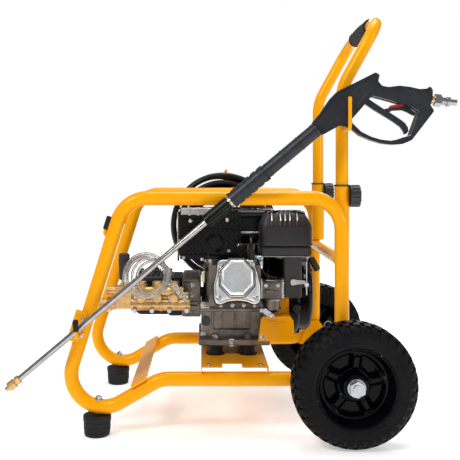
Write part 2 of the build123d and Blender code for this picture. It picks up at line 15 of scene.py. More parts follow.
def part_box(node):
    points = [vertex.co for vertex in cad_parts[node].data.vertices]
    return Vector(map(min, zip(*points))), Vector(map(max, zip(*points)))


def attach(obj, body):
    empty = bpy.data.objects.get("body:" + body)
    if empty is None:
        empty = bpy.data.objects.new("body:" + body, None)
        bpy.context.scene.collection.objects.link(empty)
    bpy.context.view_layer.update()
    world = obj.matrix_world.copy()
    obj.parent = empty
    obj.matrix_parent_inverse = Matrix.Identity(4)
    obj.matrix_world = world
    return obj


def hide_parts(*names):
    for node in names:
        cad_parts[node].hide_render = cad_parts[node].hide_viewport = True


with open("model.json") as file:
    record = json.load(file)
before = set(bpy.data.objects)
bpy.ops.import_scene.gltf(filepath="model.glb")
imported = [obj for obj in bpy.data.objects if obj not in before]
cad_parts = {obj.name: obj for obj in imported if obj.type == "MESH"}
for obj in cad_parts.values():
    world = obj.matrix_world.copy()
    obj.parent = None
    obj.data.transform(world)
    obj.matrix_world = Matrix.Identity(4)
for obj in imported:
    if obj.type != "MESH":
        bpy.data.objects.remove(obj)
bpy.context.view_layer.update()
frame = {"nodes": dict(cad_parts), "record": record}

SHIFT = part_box("fuel_tank")[0].x + 0.370
axle_low, axle_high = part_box("axle")
AXLE_X = ((axle_low.x + axle_high.x) / 2 - SHIFT) * 1000
AXLE_Z = (axle_low.z + axle_high.z) * 500
WHEEL_Y = 286
SIDE_Y = 210
GUN = (-75.5, -250, 673)
LANCE_TILT = radians(40)
LANCE = Vector((cos(LANCE_TILT), 0, sin(LANCE_TILT)))
LEG = Vector((170, 0, 543)).normalized()  # up the frame's front legs
UP, DOWN = (0, 0, 1), (0, 0, -1)
NEAR = (0, -1, 0)
RIGHT, LEFT = (1, 0, 0), (-1, 0, 0)
CYLINDER_TILT = radians(15)
CYLINDER = Vector((0, -cos(CYLINDER_TILT), sin(CYLINDER_TILT)))
CRANK_Y, CRANK_Z = 30, 279
CYLINDER_FOOT = Vector((-250, CRANK_Y, CRANK_Z))
COVER_CORNERS = ((-41, -39), (42, -39), (-36, 38), (33, 38))  # the rocker cover's bolts
MOUNTS = [(x, y) for x in (-293, -217) for y in (-100, 62)]  # the engine's rubber mounts
FOOT_X = -556
STARTER_EARS = [(CRANK_Y + 97 * cos(radians(a)), CRANK_Z + 97 * sin(radians(a))) for a in (30, 150, 270)]
KNOB_X, KNOB_Y, KNOB_Z = 29, 178, 526
GRIP_X, GRIP_Z, GRIP_HALF = 75, 924, 84


def point(x, y, z):
    """A point of the row frame in metres, from the CAD source's millimetres."""
    return Vector((x / 1000 + SHIFT, y / 1000, z / 1000))


# ---------------------------------------------------------------- materials


class Surface:
    """A node material: patches of two colours, a varying roughness and a bump of one or two scales."""

    def __init__(self, name):
        self.material = bpy.data.materials.new(name)
        self.material.use_nodes = True
        self.tree = self.material.node_tree
        self.shader = self.tree.nodes["Principled BSDF"]
        self.coordinates = self.tree.nodes.new("ShaderNodeTexCoord").outputs["Object"]

    def node(self, kind, **inputs):
        made = self.tree.nodes.new(kind)
        for name, value in inputs.items():
            self.put(made.inputs[name.replace("_", " ")], value)
        return made

    def put(self, socket, value):
        if isinstance(value, bpy.types.NodeSocket):
            self.tree.links.new(value, socket)
        else:
            socket.default_value = value

    def noise(self, scale, detail):
        made = self.node("ShaderNodeTexNoise", Vector=self.coordinates, Scale=scale, Detail=detail)
        return made.outputs["Fac"]

    def cells(self, scale):
        return self.node("ShaderNodeTexVoronoi", Vector=self.coordinates, Scale=scale).outputs["Distance"]

    def span(self, value, low, high, to_low=0.0, to_high=1.0):
        made = self.node("ShaderNodeMapRange", Value=value)
        for name, number in (("From Min", low), ("From Max", high), ("To Min", to_low), ("To Max", to_high)):
            made.inputs[name].default_value = number
        return made.outputs["Result"]

    def mix(self, factor, first, second):
        made = self.tree.nodes.new("ShaderNodeMix")
        made.data_type = "RGBA"
        for index, value in ((0, factor), (6, first), (7, second)):
            self.put(made.inputs[index], value)
        return made.outputs[2]

    def colour(self, first, second, patches, speckle=0.0, grain=500.0):
        shade = self.mix(self.span(self.noise(patches, 6.0), 0.35, 0.65), (*first, 1), (*second, 1))
        if speckle:
            spots = self.span(self.noise(grain, 2.0), 0.55, 0.75, 0.0, speckle)
            shade = self.mix(spots, shade, (*[min(1.0, c * 1.9 + 0.02) for c in first], 1))
        self.put(self.shader.inputs["Base Color"], shade)

    def rough(self, low, high, patches):
        self.put(self.shader.inputs["Roughness"], self.span(self.noise(patches, 5.0), 0.3, 0.7, low, high))

    def bump(self, height, strength, depth):
        made = self.node("ShaderNodeBump", Height=height, Strength=strength, Distance=depth)
        self.put(self.shader.inputs["Normal"], made.outputs["Normal"])

    def set(self, **values):
        for name, value in values.items():
            self.shader.inputs[name.replace("_", " ")].default_value = value


def made_surface(slot, first, second, patches, rough, grain, strength, depth, metal=0.0, speckle=0.0,
                 **values):
    made = Surface(slot)
    made.colour(first, second, patches, speckle, grain)
    made.rough(*rough, patches * 4)
    height = made.node("ShaderNodeMath")
    height.operation = "MULTIPLY_ADD"
    made.put(height.inputs[0], made.noise(grain / 6, 3.0))
    height.inputs[1].default_value = 0.8
    made.put(height.inputs[2], made.cells(grain) if slot in CELLULAR else made.noise(grain, 3.0))
    made.bump(height.outputs[0], strength, depth)
    made.set(Metallic=metal, **values)
    return made.material


CELLULAR = ("foam_grip", "gun_plastic", "bright_cover")
MATERIALS = {
    slot: made_surface(slot, *numbers, **values)
    for slot, numbers, values in (
        ("frame_paint", ((0.90, 0.375, 0.002), (0.88, 0.355, 0.001), 5, (0.26, 0.34), 420, 0.05, 0.0003),
         {"Specular_Tint": (1, 0.6, 0.1, 1), "Coat_Weight": 0.12, "Coat_Roughness": 0.06}),
        ("black_rubber", ((0.007, 0.007, 0.008), (0.012, 0.012, 0.012), 40, (0.5, 0.7), 900, 0.3, 0.0004),
         {"Specular_IOR_Level": 0.25}),
        ("tyre_rubber", ((0.003, 0.003, 0.004), (0.006, 0.006, 0.006), 26, (0.42, 0.6), 700, 0.35, 0.0005),
         {"speckle": 0.25, "Specular_IOR_Level": 0.1}),
        ("rim_black", ((0.001, 0.001, 0.002), (0.003, 0.003, 0.004), 20, (0.1, 0.16), 300, 0.06, 0.0003),
         {"Specular_IOR_Level": 0.06, "Coat_Weight": 0.1, "Coat_Roughness": 0.03}),
        ("zinc_steel", ((0.52, 0.54, 0.56), (0.38, 0.41, 0.45), 90, (0.22, 0.38), 500, 0.12, 0.0002),
         {"metal": 1.0}),
        ("foam_grip", ((0.010, 0.010, 0.011), (0.017, 0.017, 0.017), 60, (0.85, 0.98), 1100, 0.6, 0.0008),
         {"Sheen_Weight": 0.1, "Specular_IOR_Level": 0.25}),
        ("black_plastic", ((0.014, 0.014, 0.016), (0.022, 0.022, 0.024), 18, (0.36, 0.5), 1500, 0.22, 0.0002),
         {}),
        ("gun_plastic", ((0.008, 0.009, 0.013), (0.014, 0.016, 0.022), 25, (0.34, 0.46), 1300, 0.3, 0.0003),
         {"Specular_IOR_Level": 0.4}),
        ("latch_red", ((0.62, 0.015, 0.008), (0.50, 0.010, 0.006), 60, (0.28, 0.4), 1200, 0.15, 0.0002), {}),
        ("engine_black", ((0.002, 0.002, 0.002), (0.005, 0.005, 0.005), 14, (0.18, 0.3), 600, 0.12, 0.0003),
         {"Specular_IOR_Level": 0.1, "Coat_Weight": 0.1, "Coat_Roughness": 0.08}),
        ("cast_aluminium", ((0.25, 0.21, 0.18), (0.13, 0.11, 0.095), 30, (0.36, 0.52), 800, 0.5, 0.0006),
         {"metal": 0.85, "speckle": 0.3}),
        ("bright_cover", ((0.86, 0.89, 0.90), (0.74, 0.77, 0.79), 30, (0.26, 0.4), 900, 0.2, 0.0004),
         {"metal": 0.9}),
        ("pump_black", ((0.005, 0.005, 0.005), (0.009, 0.009, 0.009), 22, (0.36, 0.5), 900, 0.4, 0.0003),
         {"Specular_IOR_Level": 0.25}),
        ("brass", ((0.70, 0.45, 0.20), (0.52, 0.32, 0.13), 45, (0.28, 0.46), 700, 0.3, 0.0004),
         {"metal": 0.95, "speckle": 0.3}),
        ("bright_steel", ((0.46, 0.46, 0.47), (0.36, 0.36, 0.38), 60, (0.08, 0.15), 900, 0.02, 0.0001),
         {"metal": 1.0}),
        ("machined_steel", ((0.50, 0.50, 0.49), (0.40, 0.40, 0.40), 50, (0.28, 0.42), 900, 0.12, 0.0002),
         {"metal": 1.0}),
        ("hose_rubber", ((0.005, 0.005, 0.006), (0.009, 0.009, 0.010), 30, (0.26, 0.4), 500, 0.2, 0.0004),
         {"Specular_IOR_Level": 0.3}),
        ("fitting_steel", ((0.64, 0.56, 0.40), (0.52, 0.44, 0.30), 80, (0.24, 0.38), 600, 0.15, 0.0002),
         {"metal": 1.0}),
        ("clear_tube", ((0.93, 0.94, 0.92), (0.86, 0.87, 0.84), 60, (0.06, 0.14), 400, 0.05, 0.0002),
         {"Transmission_Weight": 0.88, "IOR": 1.3}),
    )
}


# ---------------------------------------------------------------- mesh code


def place(origin, z_dir, x_dir=None):
    """Axes with their origin, as a matrix."""
    z = Vector(z_dir).normalized()
    x = Vector(x_dir) if x_dir else Vector((0, 1, 0)).cross(z)
    if x.length < 0.001:
        x = Vector(RIGHT)
    x = (x - z * x.dot(z)).normalized()
    y = z.cross(x)
    rows = [(x[i], y[i], z[i], origin[i]) for i in range(3)]
    return Matrix((*rows, (0, 0, 0, 1)))


def circle(count):
    """The angles of equal steps around a full turn."""
    return [2 * pi * i / count for i in range(count)]


def around(at, r, turn, height):
    """A point at a radius, an angle and a height in at's axes."""
    return at @ Vector((r * cos(turn), r * sin(turn), height))


def rounded(width, height, r, steps=5):
    """The outline of a rectangle with round corners, about its middle."""
    out = []
    for i, (sx, sy) in enumerate(((1, 1), (-1, 1), (-1, -1), (1, -1))):
        for k in range(steps + 1):
            turn = radians(90) * (i + k / steps)
            out.append((sx * (width / 2 - r) + r * cos(turn), sy * (height / 2 - r) + r * sin(turn)))
    return out


def polygon(sides, across_flats, first=0.0):
    """The outline of a regular polygon, from its width across flats and its first corner's angle."""
    r = across_flats / 2 / cos(pi / sides)
    return [(r * cos(first + 2 * pi * i / sides), r * sin(first + 2 * pi * i / sides)) for i in range(sides)]


def inset(outline, depth):
    """The outline moved inwards by a distance; it runs anticlockwise."""
    out = []
    n = len(outline)
    for i in range(n):
        a, b, c = (Vector(outline[(i + k) % n]) for k in (-1, 0, 1))
        before, after = (b - a).normalized(), (c - b).normalized()
        normal = Vector((-before.y - after.y, before.x + after.x))
        normal.normalize()
        lean = max(0.4, normal.dot(Vector((-before.y, before.x))))
        out.append(tuple(b + normal * (depth / lean)))
    return out


class Geo:
    """The faces of one piece."""

    def __init__(self):
        self.verts = []
        self.faces = []

    def add(self, verts, faces):
        first = len(self.verts)
        self.verts += [Vector(v) for v in verts]
        self.faces += [[first + i for i in face] for face in faces]

    def lathe(self, at, profile, segs=48, closed=False):
        """A turned part from (radius, height) points, about the Z axis of at."""
        verts = []
        for r, h in profile:
            verts += [around(at, r, 2 * pi * i / segs, h) for i in range(segs)]
        n = len(profile)
        faces = []
        for k in range(n if closed else n - 1):
            a, b = k * segs, (k + 1) % n * segs
            faces += [[a + i, a + (i + 1) % segs, b + (i + 1) % segs, b + i] for i in range(segs)]
        if not closed:
            for k, r in ((0, profile[0][0]), (n - 1, profile[-1][0])):
                if r > 0:
                    faces.append([k * segs + i for i in range(segs)])
        self.add(verts, faces)

    def stack(self, at, outline, levels):
        """A prism with (height, inset) levels, capped at both ends."""
        verts = []
        n = len(outline)
        for h, depth in levels:
            verts += [at @ Vector((x, y, h)) for x, y in (inset(outline, depth) if depth else outline)]
        faces = [list(range(n)), [(len(levels) - 1) * n + i for i in range(n)]]
        for k in range(len(levels) - 1):
            a, b = k * n, (k + 1) * n
            faces += [[a + i, a + (i + 1) % n, b + (i + 1) % n, b + i] for i in range(n)]
        self.add(verts, faces)

    def slab(self, at, outline, low, high, edge=0.6):
        """A prism with softened edges."""
        self.stack(at, outline, [(low, edge), (low + edge, 0), (high - edge, 0), (high, edge)])

    def box(self, x, y, z, edge):
        """A softened block between two limits on each axis."""
        middle = ((x[0] + x[1]) / 2, (y[0] + y[1]) / 2, z[0])
        at = place(middle, UP, RIGHT)
        self.slab(at, rounded(x[1] - x[0], y[1] - y[0], edge, 3), 0, z[1] - z[0], edge)

    def tube(self, points, r, segs=12, flat=1.0):
        """A bar along points, with flat ends."""
        points = [Vector(p) for p in points]
        n = len(points)
        way = [(points[min(i + 1, n - 1)] - points[max(i - 1, 0)]).normalized() for i in range(n)]
        side = way[0].orthogonal().normalized()
        verts = []
        for p, d in zip(points, way):
            side = (side - d * side.dot(d)).normalized()
            up = d.cross(side)
            for turn in circle(segs):
                verts.append(p + side * (r * cos(turn)) + up * (r * flat * sin(turn)))
        faces = [[i for i in range(segs)], [(n - 1) * segs + i for i in range(segs)]]
        for k in range(n - 1):
            a, b = k * segs, (k + 1) * segs
            faces += [[a + i, a + (i + 1) % segs, b + (i + 1) % segs, b + i] for i in range(segs)]
        self.add(verts, faces)

    def bolt(self, origin, along, across_flats, height, washer=True):
        """A hexagon head on a washer, with a low dome."""
        at = place(origin, along)
        if washer:
            r = across_flats * 0.78
            self.lathe(at, [(0, 0), (r, 0), (r, 0.9), (r - 0.5, 1.3), (0, 1.3)], 24)
        self.stack(at, polygon(6, across_flats, 0.3), [(1, 0), (height - 0.7, 0), (height, 0.9)])
        r = across_flats * 0.22
        self.lathe(at, [(r, height - 0.2), (r, height + 1.2), (r * 0.8, height + 1.6), (0, height + 1.6)], 14)

    def cap_screw(self, origin, along, r, height):
        """A round head with a hexagon socket."""
        at = place(origin, along)
        self.lathe(at, [(0, -1), (r, -1), (r, height - 0.6), (r - 0.6, height), (r * 0.6, height)], 24)
        socket = polygon(6, r * 1.0, 0.2)
        self.stack(at, socket, [(height - 1.4, 0), (height - 1.3, 0)])

    def torus(self, at, ring_r, r, segs, sides):
        """A ring with a round section."""
        self.lathe(at, [(ring_r + r * cos(turn), r * sin(turn)) for turn in circle(sides)], segs, closed=True)

    def piece(self, name, body, slot, sharp=38.0, replaces=(), bevel=0.0):
        """Makes the object, which rides on a body and takes a slot's material."""
        mesh = bpy.data.meshes.new(name)
        verts = [point(*v) for v in self.verts]
        mesh.from_pydata(verts, [], self.faces)
        bm = bmesh.new()
        bm.from_mesh(mesh)
        bmesh.ops.remove_doubles(bm, verts=bm.verts, dist=0.000002)
        bmesh.ops.dissolve_degenerate(bm, edges=bm.edges, dist=0.000002)
        bmesh.ops.recalc_face_normals(bm, faces=bm.faces)
        bm.to_mesh(mesh)
        bm.free()
        mesh.shade_smooth()
        mesh.set_sharp_from_angle(angle=radians(sharp))
        mesh.materials.append(MATERIALS[slot])
        made = bpy.data.objects.new(name, mesh)
        bpy.context.scene.collection.objects.link(made)
        if bevel:
            softened = made.modifiers.new("soft edges", "BEVEL")
            softened.width = bevel / 1000
            softened.segments = 2
            softened.limit_method = "ANGLE"
            softened.angle_limit = radians(40)
        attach(made, body)
        if replaces:
            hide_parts(*replaces)
        return made


# ---------------------------------------------------------------- camera, light and floor


def stage():
    """A pale floor that glows as painted light, a pale world, four soft lamps, and the camera level with the
    machine's middle.
    """
    camera = bpy.data.objects.new("camera", bpy.data.cameras.new("camera"))
    bpy.context.scene.collection.objects.link(camera)
    camera.location = (-0.0596, -1.89, 0.573)
    camera.rotation_euler = (radians(90), 0, 0)
    camera.data.sensor_width = 36
    camera.data.lens = 59.56
    camera.data.shift_x = 0.0587
    camera.data.shift_y = -0.1196
    bpy.context.scene.camera = camera

    for name, where, size, energy, colour in (
        ("key", (-1.7, -2.2, 2.7), 0.9, 52, (1, 0.99, 0.97)),
        ("fill", (2.6, -1.7, 1.1), 1.0, 18, (0.97, 0.98, 1)),
        ("top", (0.3, 0.3, 3.2), 1.6, 50, (1, 1, 1)),
        ("back", (1.0, 2.6, 1.9), 1.4, 28, (1, 1, 1)),
    ):
        lamp = bpy.data.objects.new(name, bpy.data.lights.new(name, "AREA"))
        bpy.context.scene.collection.objects.link(lamp)
        lamp.location = where
        lamp.rotation_euler = (Vector((0, 0, 0.4)) - Vector(where)).to_track_quat("-Z", "Y").to_euler()
        lamp.data.size = size
        lamp.data.energy = energy
        lamp.data.color = colour

    world = bpy.data.worlds.new("studio")
    world.use_nodes = True
    seen = world.node_tree.nodes.new("ShaderNodeLightPath").outputs["Is Camera Ray"]
    strength = world.node_tree.nodes.new("ShaderNodeMapRange")
    strength.inputs["To Min"].default_value = 0.34
    strength.inputs["To Max"].default_value = 1.0
    background = world.node_tree.nodes["Background"]
    background.inputs["Color"].default_value = (1, 1, 1, 1)
    world.node_tree.links.new(seen, strength.inputs["Value"])
    world.node_tree.links.new(strength.outputs["Result"], background.inputs["Strength"])
    bpy.context.scene.world = world
    bpy.context.scene.view_settings.view_transform = "Standard"

    half = 12
    mesh = bpy.data.meshes.new("floor")
    corners = [(-half, -half, 0), (half, -half, 0), (half, half, 0), (-half, half, 0)]
    mesh.from_pydata(corners, [], [(0, 1, 2, 3)])
    floor = bpy.data.objects.new("floor", mesh)
    bpy.context.scene.collection.objects.link(floor)
    paper = Surface("glowing_floor")
    paper.colour((0.92, 0.92, 0.92), (0.90, 0.90, 0.90), 2)
    paper.rough(0.8, 0.9, 8)
    # painted light: the floor glows, with an emission strength of 0.42 near the machine rising to 0.72 about
    # three metres out, so it is painted darker around the machine and its glow lights the machine from below
    away = paper.node("ShaderNodeVectorMath", Vector=paper.coordinates)
    away.operation = "LENGTH"
    glow = paper.span(away.outputs["Value"], 0.8, 3.2, 0.42, 0.72)
    paper.put(paper.shader.inputs["Emission Strength"], glow)
    paper.set(Emission_Color=(1, 1, 1, 1), Specular_IOR_Level=0.1)
    mesh.materials.append(paper.material)


stage()


# ---------------------------------------------------------------- cords


def cord(name, points, diameter, slot):
    """A smooth spline through its route, as round as the real cord."""
    curve = bpy.data.curves.new(name, "CURVE")
    curve.dimensions = "3D"
    spline = curve.splines.new("NURBS")
    spline.points.add(len(points) - 1)
    for i, p in enumerate(points):
        spline.points[i].co = (*point(*p), 1)
    spline.order_u = 3
    spline.use_endpoint_u = True
    spline.resolution_u = 4
    curve.bevel_depth = diameter / 2000
    curve.bevel_resolution = 3
    curve.use_fill_caps = True
    curve.materials.append(MATERIALS[slot])
    made = bpy.data.objects.new(name, curve)
    bpy.context.scene.collection.objects.link(made)
    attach(made, "frame")
    return made


def smooth_step(t):
    """Goes from 0 to 1 with level ends."""
    t = max(0.0, min(1.0, t))
    return t * t * (3 - 2 * t)


HOSE_D = 14
HOSE_MIDDLE = (-266, 261, 432)
HOSE_TURNS = [(85, -7), (85, -21), (102, -21), (102, -7), (120, -7), (120, -21), (140, -21), (140, -7),
              (140, 7), (140, 21), (120, 21), (120, 7), (102, 7), (102, 21), (85, 21), (85, 7)]


def hose():
    """The high pressure hose, wound on its hanger from one coupling to the other."""
    per_turn = 16
    first, last = 215, 330 - 15 * 360
    count = round((first - last) / 360 * per_turn)
    x, y, z = HOSE_MIDDLE
    route = [(-300, y - 14, 366), (-316, y - 14, 366), (-328, y - 13, 369)]
    spread = 0.25  # the share of a turn in which the hose steps to the next row
    for i in range(count + 1):
        turns = i / per_turn
        whole = min(int(turns), len(HOSE_TURNS) - 2)
        step_at = 0.85 - whole * 0.05
        t = smooth_step((turns - whole - step_at + spread / 2) / spread)
        (r0, y0), (r1, y1) = HOSE_TURNS[whole], HOSE_TURNS[whole + 1]
        angle = radians(first + (last - first) * i / count)
        r = r0 + (r1 - r0) * t + 1.4 * sin(2.3 * whole + angle)
        r /= cos(pi / per_turn)
        sag = 1.04 if sin(angle) < 0 else 1.0
        route.append((x + r * cos(angle), y + y0 + (y1 - y0) * t + 1.1 * sin(1.7 * whole + 2 * angle),
                      z + sag * r * sin(angle)))
    route += [(-212, y + 14, 368), (-222, y + 14, 366), (-240, y + 14, 366)]
    made = cord("hose", route, HOSE_D, "hose_rubber")
    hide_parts("hose_coil")
    sleeve = [(7.1, 0), (9.2, 0), (9.6, 1.5), (9.6, 6), (8.8, 7), (9.6, 8), (9.6, 13), (8.8, 14), (9.6, 15),
              (9.6, 24), (7, 26), (7, 31), (5, 31), (5, 4)]
    nut = [(7, 34), (10.4, 34.5), (10.9, 36), (10.9, 54), (10.2, 55.5), (7, 55.5), (6.2, 50), (6.2, 34)]
    for name, side, start, way in (("hose_coupling_a", y - 14, -316, 1),
                                   ("hose_coupling_b", y + 14, -222, -1)):
        at = place((start, side, 366), (way, 0, 0))
        g = Geo()
        g.lathe(at, sleeve, 32, closed=True)
        g.stack(at, polygon(6, 17), [(26, 0.8), (26.8, 0), (34, 0), (34.8, 0.8)])
        g.lathe(at, nut, 32, closed=True)
        g.piece(name, "frame", "fitting_steel")
    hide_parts("hose_fittings")
    g = Geo()
    tie_at = radians(62)
    for width in (-4, 4):
        middle = Vector((x + 113 * cos(tie_at), y, z + 113 * sin(tie_at)))
        out = Vector((cos(tie_at), 0, sin(tie_at)))
        along = Vector((-sin(tie_at), 0, cos(tie_at)))
        loop = [middle + out * a + Vector((0, 1, 0)) * b + along * width for a, b in rounded(74, 62, 14, 6)]
        g.tube([*loop, loop[0]], 1.6, 8)
    strap = g.piece("hose_strap", "frame", "black_rubber")
    start = point(*route[0])


hose()


def detergent_tube():
    """The clear detergent tube: loose turns that a tie gathers at their right, then the strainer."""
    diameter = 6.5
    x, y, z = -450, -150, 342
    gather = radians(-20)
    knot = Vector((x + 51 * cos(gather), z + 51 * sin(gather)))
    rows = [(52, 0, 4), (46, -6, -4), (51, -0.5, -4), (41, -6.5, 4), (46, -12.5, 0), (38, 6, 0.5)]
    per_turn = 16
    first, last = 190, 20 - 5 * 360
    count = round((first - last) / 360 * per_turn)
    route = [(-499, -138, 304), (-499, -148, 304), (-500, -156.5, 312), (-501.5, -155, 323)]
    for i in range(count + 1):
        turns = i / per_turn
        whole = min(int(turns), len(rows) - 2)
        t = smooth_step(turns - whole)
        r, lift, side = (a + (b - a) * t for a, b in zip(rows[whole], rows[whole + 1]))
        angle = radians(first + (last - first) * i / count)
        r /= cos(pi / per_turn)
        route.append((knot.x + (r + lift * 0.3) * (cos(angle) - cos(gather)) + lift * cos(gather),
                      y + side + 1.5 * sin(3 * angle + whole),
                      knot.y + (r + lift * 0.3) * (sin(angle) - sin(gather)) + lift * sin(gather)))
    route += [(-400.5, -151, 340), (-397, -150, 331), (-391.5, -150, 322.5), (-384, -150, 313.8)]
    made = cord("detergent_tube", route, diameter, "clear_tube")
    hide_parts("detergent_coil")
    at = place((-393, -150, 324), (0.66, 0, -0.75))
    g = Geo()
    profile = [(3.4, 0), (5.2, 0.6), (5.6, 4)]
    for i in range(7):
        low = 8 + 5.6 * i
        profile += [(6.4, low), (8.0, low + 0.8), (8.0, low + 3.2), (6.4, low + 4)]
    profile += [(6.4, 48), (5.6, 49.5), (3.2, 49.5), (3.0, 2)]
    g.lathe(at, profile, 28, closed=True)
    strainer = g.piece("strainer", "frame", "clear_tube", replaces=["detergent_strainer"])
    g = Geo()
    out = Vector((cos(gather), 0, sin(gather)))
    middle = Vector((x + 49 * cos(gather), y, z + 49 * sin(gather)))
    loop = [middle + out * a + Vector((0, b, 0)) for a, b in rounded(24, 21, 7, 4)]
    g.tube([*loop, loop[0]], 1.3, 8)
    g.tube([middle + out * 11 + Vector((0, -9, 2)), middle + out * 17 + Vector((0, -12, 7))], 1.1, 8)
    tie = g.piece("tube_tie", "frame", "clear_tube")


detergent_tube()


# ---------------------------------------------------------------- wheels


def lug(g, at, outer, depth, first, last, taper=0.12):
    """A tread block between two angles; outer is its (radius, height) section, from side to side."""
    lean = (last - first) * taper
    verts = []
    n = len(outer)
    for drop, spread in ((depth, 0), (0, lean)):
        for angle in (first + spread, (first + last) / 2, last - spread):
            verts += [around(at, r - drop, angle, h) for r, h in outer]
    faces = []
    for ring in (0, 1):
        for step in (0, 1):
            a, b = (ring * 3 + step) * n, (ring * 3 + step + 1) * n
            faces += [[a + i, a + i + 1, b + i + 1, b + i] for i in range(n - 1)]
    for step in (0, 2):
        a, b = step * n, (3 + step) * n
        faces += [[a + i, a + i + 1, b + i + 1, b + i] for i in range(n - 1)]
    for i in (0, n - 1):
        for step in (0, 1):
            faces.append([step * n + i, (step + 1) * n + i, (4 + step) * n + i, (3 + step) * n + i])
    g.add(verts, faces)


def tread(at, name, body):
    """The tyre with its three rows of tread blocks and its shoulder blocks."""
    g = Geo()
    half = [(84.2, 37), (84.4, 41), (87, 42.8), (92, 43.4), (93, 44), (95, 44), (96, 43.4), (102, 43.6),
            (106, 43.2), (107, 43.8), (109, 43.6), (110, 42.6), (116, 39.6), (121, 34.5), (124.6, 27.5),
            (126.6, 20), (127.6, 11)]
    g.lathe(at, [*half, *[(r, -h) for r, h in reversed(half)]], 96, closed=True)
    pitches = 36
    pitch = 2 * pi / pitches
    for i in range(pitches):
        turn = i * pitch
        lug(g, at, [(132.3, -11), (132.4, 0), (132.3, 11)], 6, turn + 0.08 * pitch, turn + 0.80 * pitch)
        for way in (-1, 1):
            row = [(132.1, way * 14), (131.4, way * 20), (130.0, way * 25.5)]
            lug(g, at, row, 6, turn + 0.52 * pitch, turn + 1.26 * pitch)
            row = [(128.8, way * 28.5), (125.6, way * 34), (121.0, way * 38.6), (115.0, way * 42.0)]
            lug(g, at, row, 4.5, turn + 0.04 * pitch, turn + 0.66 * pitch, 0.06)
    g.piece(f"{name}_tyre_tread", body, "tyre_rubber", 32, [f"{name}_tyre"])


def dish_height(r, turn):
    """The height of the rim's dish: five ribs with a deep pocket between each pair."""
    spokes = [turn - radians(12 + 72 * spoke) for spoke in range(5)]
    away = r * min(abs(sin(off)) if cos(off) > 0 else 1.0 for off in spokes)
    crown = 3.5 * smooth_step((r - 60) / 10) - 2 * smooth_step((40 - r) / 10)
    rib = smooth_step((9 - away) / 5) * smooth_step((66 - r) / 8)
    deep = smooth_step((away - 8) / 7) * smooth_step((r - 33) / 7) * smooth_step((67 - r) / 7)
    return 4 + crown + 4 * rib - 13 * deep


def rim_dish(g, at):
    """The pressed dish as a thin sheet from the hub to the barrel."""
    rings, segs = 32, 180
    hub_r, barrel_r, half_sheet = 27, 72, 1.2
    verts, faces = [], []
    for face in (1, -1):
        for k in range(rings + 1):
            r = hub_r + (barrel_r - hub_r) * k / rings
            verts += [around(at, r, turn, dish_height(r, turn) + face * half_sheet) for turn in circle(segs)]
    layer = (rings + 1) * segs
    strips = [(face * layer + k * segs, face * layer + (k + 1) * segs)
              for face in (0, 1) for k in range(rings)]
    strips += [(k * segs, layer + k * segs) for k in (0, rings)]
    for a, b in strips:
        faces += [[a + i, a + (i + 1) % segs, b + (i + 1) % segs, b + i] for i in range(segs)]
    g.add(verts, faces)


def rim(at, name, body):
    """The rim's barrel, dish and hub."""
    g = Geo()
    barrel = [(82.6, 36), (84.0, 40.5), (82.8, 42.2), (80.6, 41.6), (79.4, 37), (77.5, 26), (73.5, 20),
              (71.5, 12), (70.5, 4), (70.5, -8), (73.5, -20), (77.5, -26), (79.4, -37), (80.6, -41.6),
              (82.8, -42.2), (84.0, -40.5), (82.6, -36), (79.6, -24), (76, -18), (74.5, 0), (76, 18),
              (79.6, 26)]
    g.lathe(at, barrel, 96, closed=True)
    rim_dish(g, at)
    hub = [(10.2, 0), (30.5, 0), (30, 14), (28.5, 26), (26.5, 29), (22.5, 30), (22, 31.8), (16, 31.8),
           (10.2, 31.8)]
    for way in (1, -1):
        g.lathe(at, [(r, way * h) for r, h in hub], 48, closed=True)
    g.piece(f"{name}_rim_pressing", body, "rim_black", 40, [f"{name}_rim"])


def wheel(name, side):
    """A wheel's tyre, rim and valve."""
    body = f"{name}_wheel"
    at = place((AXLE_X, side * WHEEL_Y, AXLE_Z), (0, side, 0), RIGHT)
    tread(at, name, body)
    rim(at, name, body)
    g = Geo()
    stem = place(around(at, 62, 0.35, 4), (0, side, 0))
    g.lathe(stem, [(5.5, 0), (5.2, 4), (4, 7), (3.6, 18), (4.2, 19), (4.2, 27), (3.6, 28), (0, 28)], 20)
    g.piece(f"{name}_tyre_valve", body, "black_rubber")


wheel("near", -1)
wheel("far", 1)


# ---------------------------------------------------------------- frame details


def hook_caps():
    """Rubber caps on the line hooks and the lance rest."""
    g = Geo()
    for side in (-1, 1):
        root = Vector((-522, side * SIDE_Y, 435))
        tip = root + Vector((-LEG.z, 0, LEG.x)) * 20 + LEG * 40
        cap = place(tip - LEG * 27, LEG)
        g.lathe(cap, [(4.1, 0), (6.2, 0), (6.6, 1), (6.6, 27), (5.4, 29.5), (0, 30)], 24)
    rest_top = Vector((-594, -273, 262.1))
    lean = (-0.083, 0, 0.996)
    cap = place(rest_top - Vector(lean) * 22, lean)
    g.lathe(cap, [(4.1, 0), (5.8, 0), (6.2, 1), (6.2, 22), (5, 24.5), (0, 25)], 24)
    g.piece("hook_caps", "frame", "black_rubber")


def frame_bolts():
    """Bolts of the lance rest, the feet, the engine plate and the guard plate."""
    g = Geo()
    for x, z in ((-582.5, 256), (-589, 224)):
        g.bolt((x, -230, z), NEAR, 8, 4.5)
    for side in (-1, 1):
        g.bolt((-553, side * SIDE_Y, 78.2), (0.15, 0, 0.989), 13, 7)
    for x in (-310, -195):
        for side in (-1, 1):
            g.cap_screw((x, side * (SIDE_Y + 2), 153), UP, 5, 4)
    g.bolt((-184, -122, 196), NEAR, 8, 4.5)
    g.piece("frame_bolts", "frame", "zinc_steel")


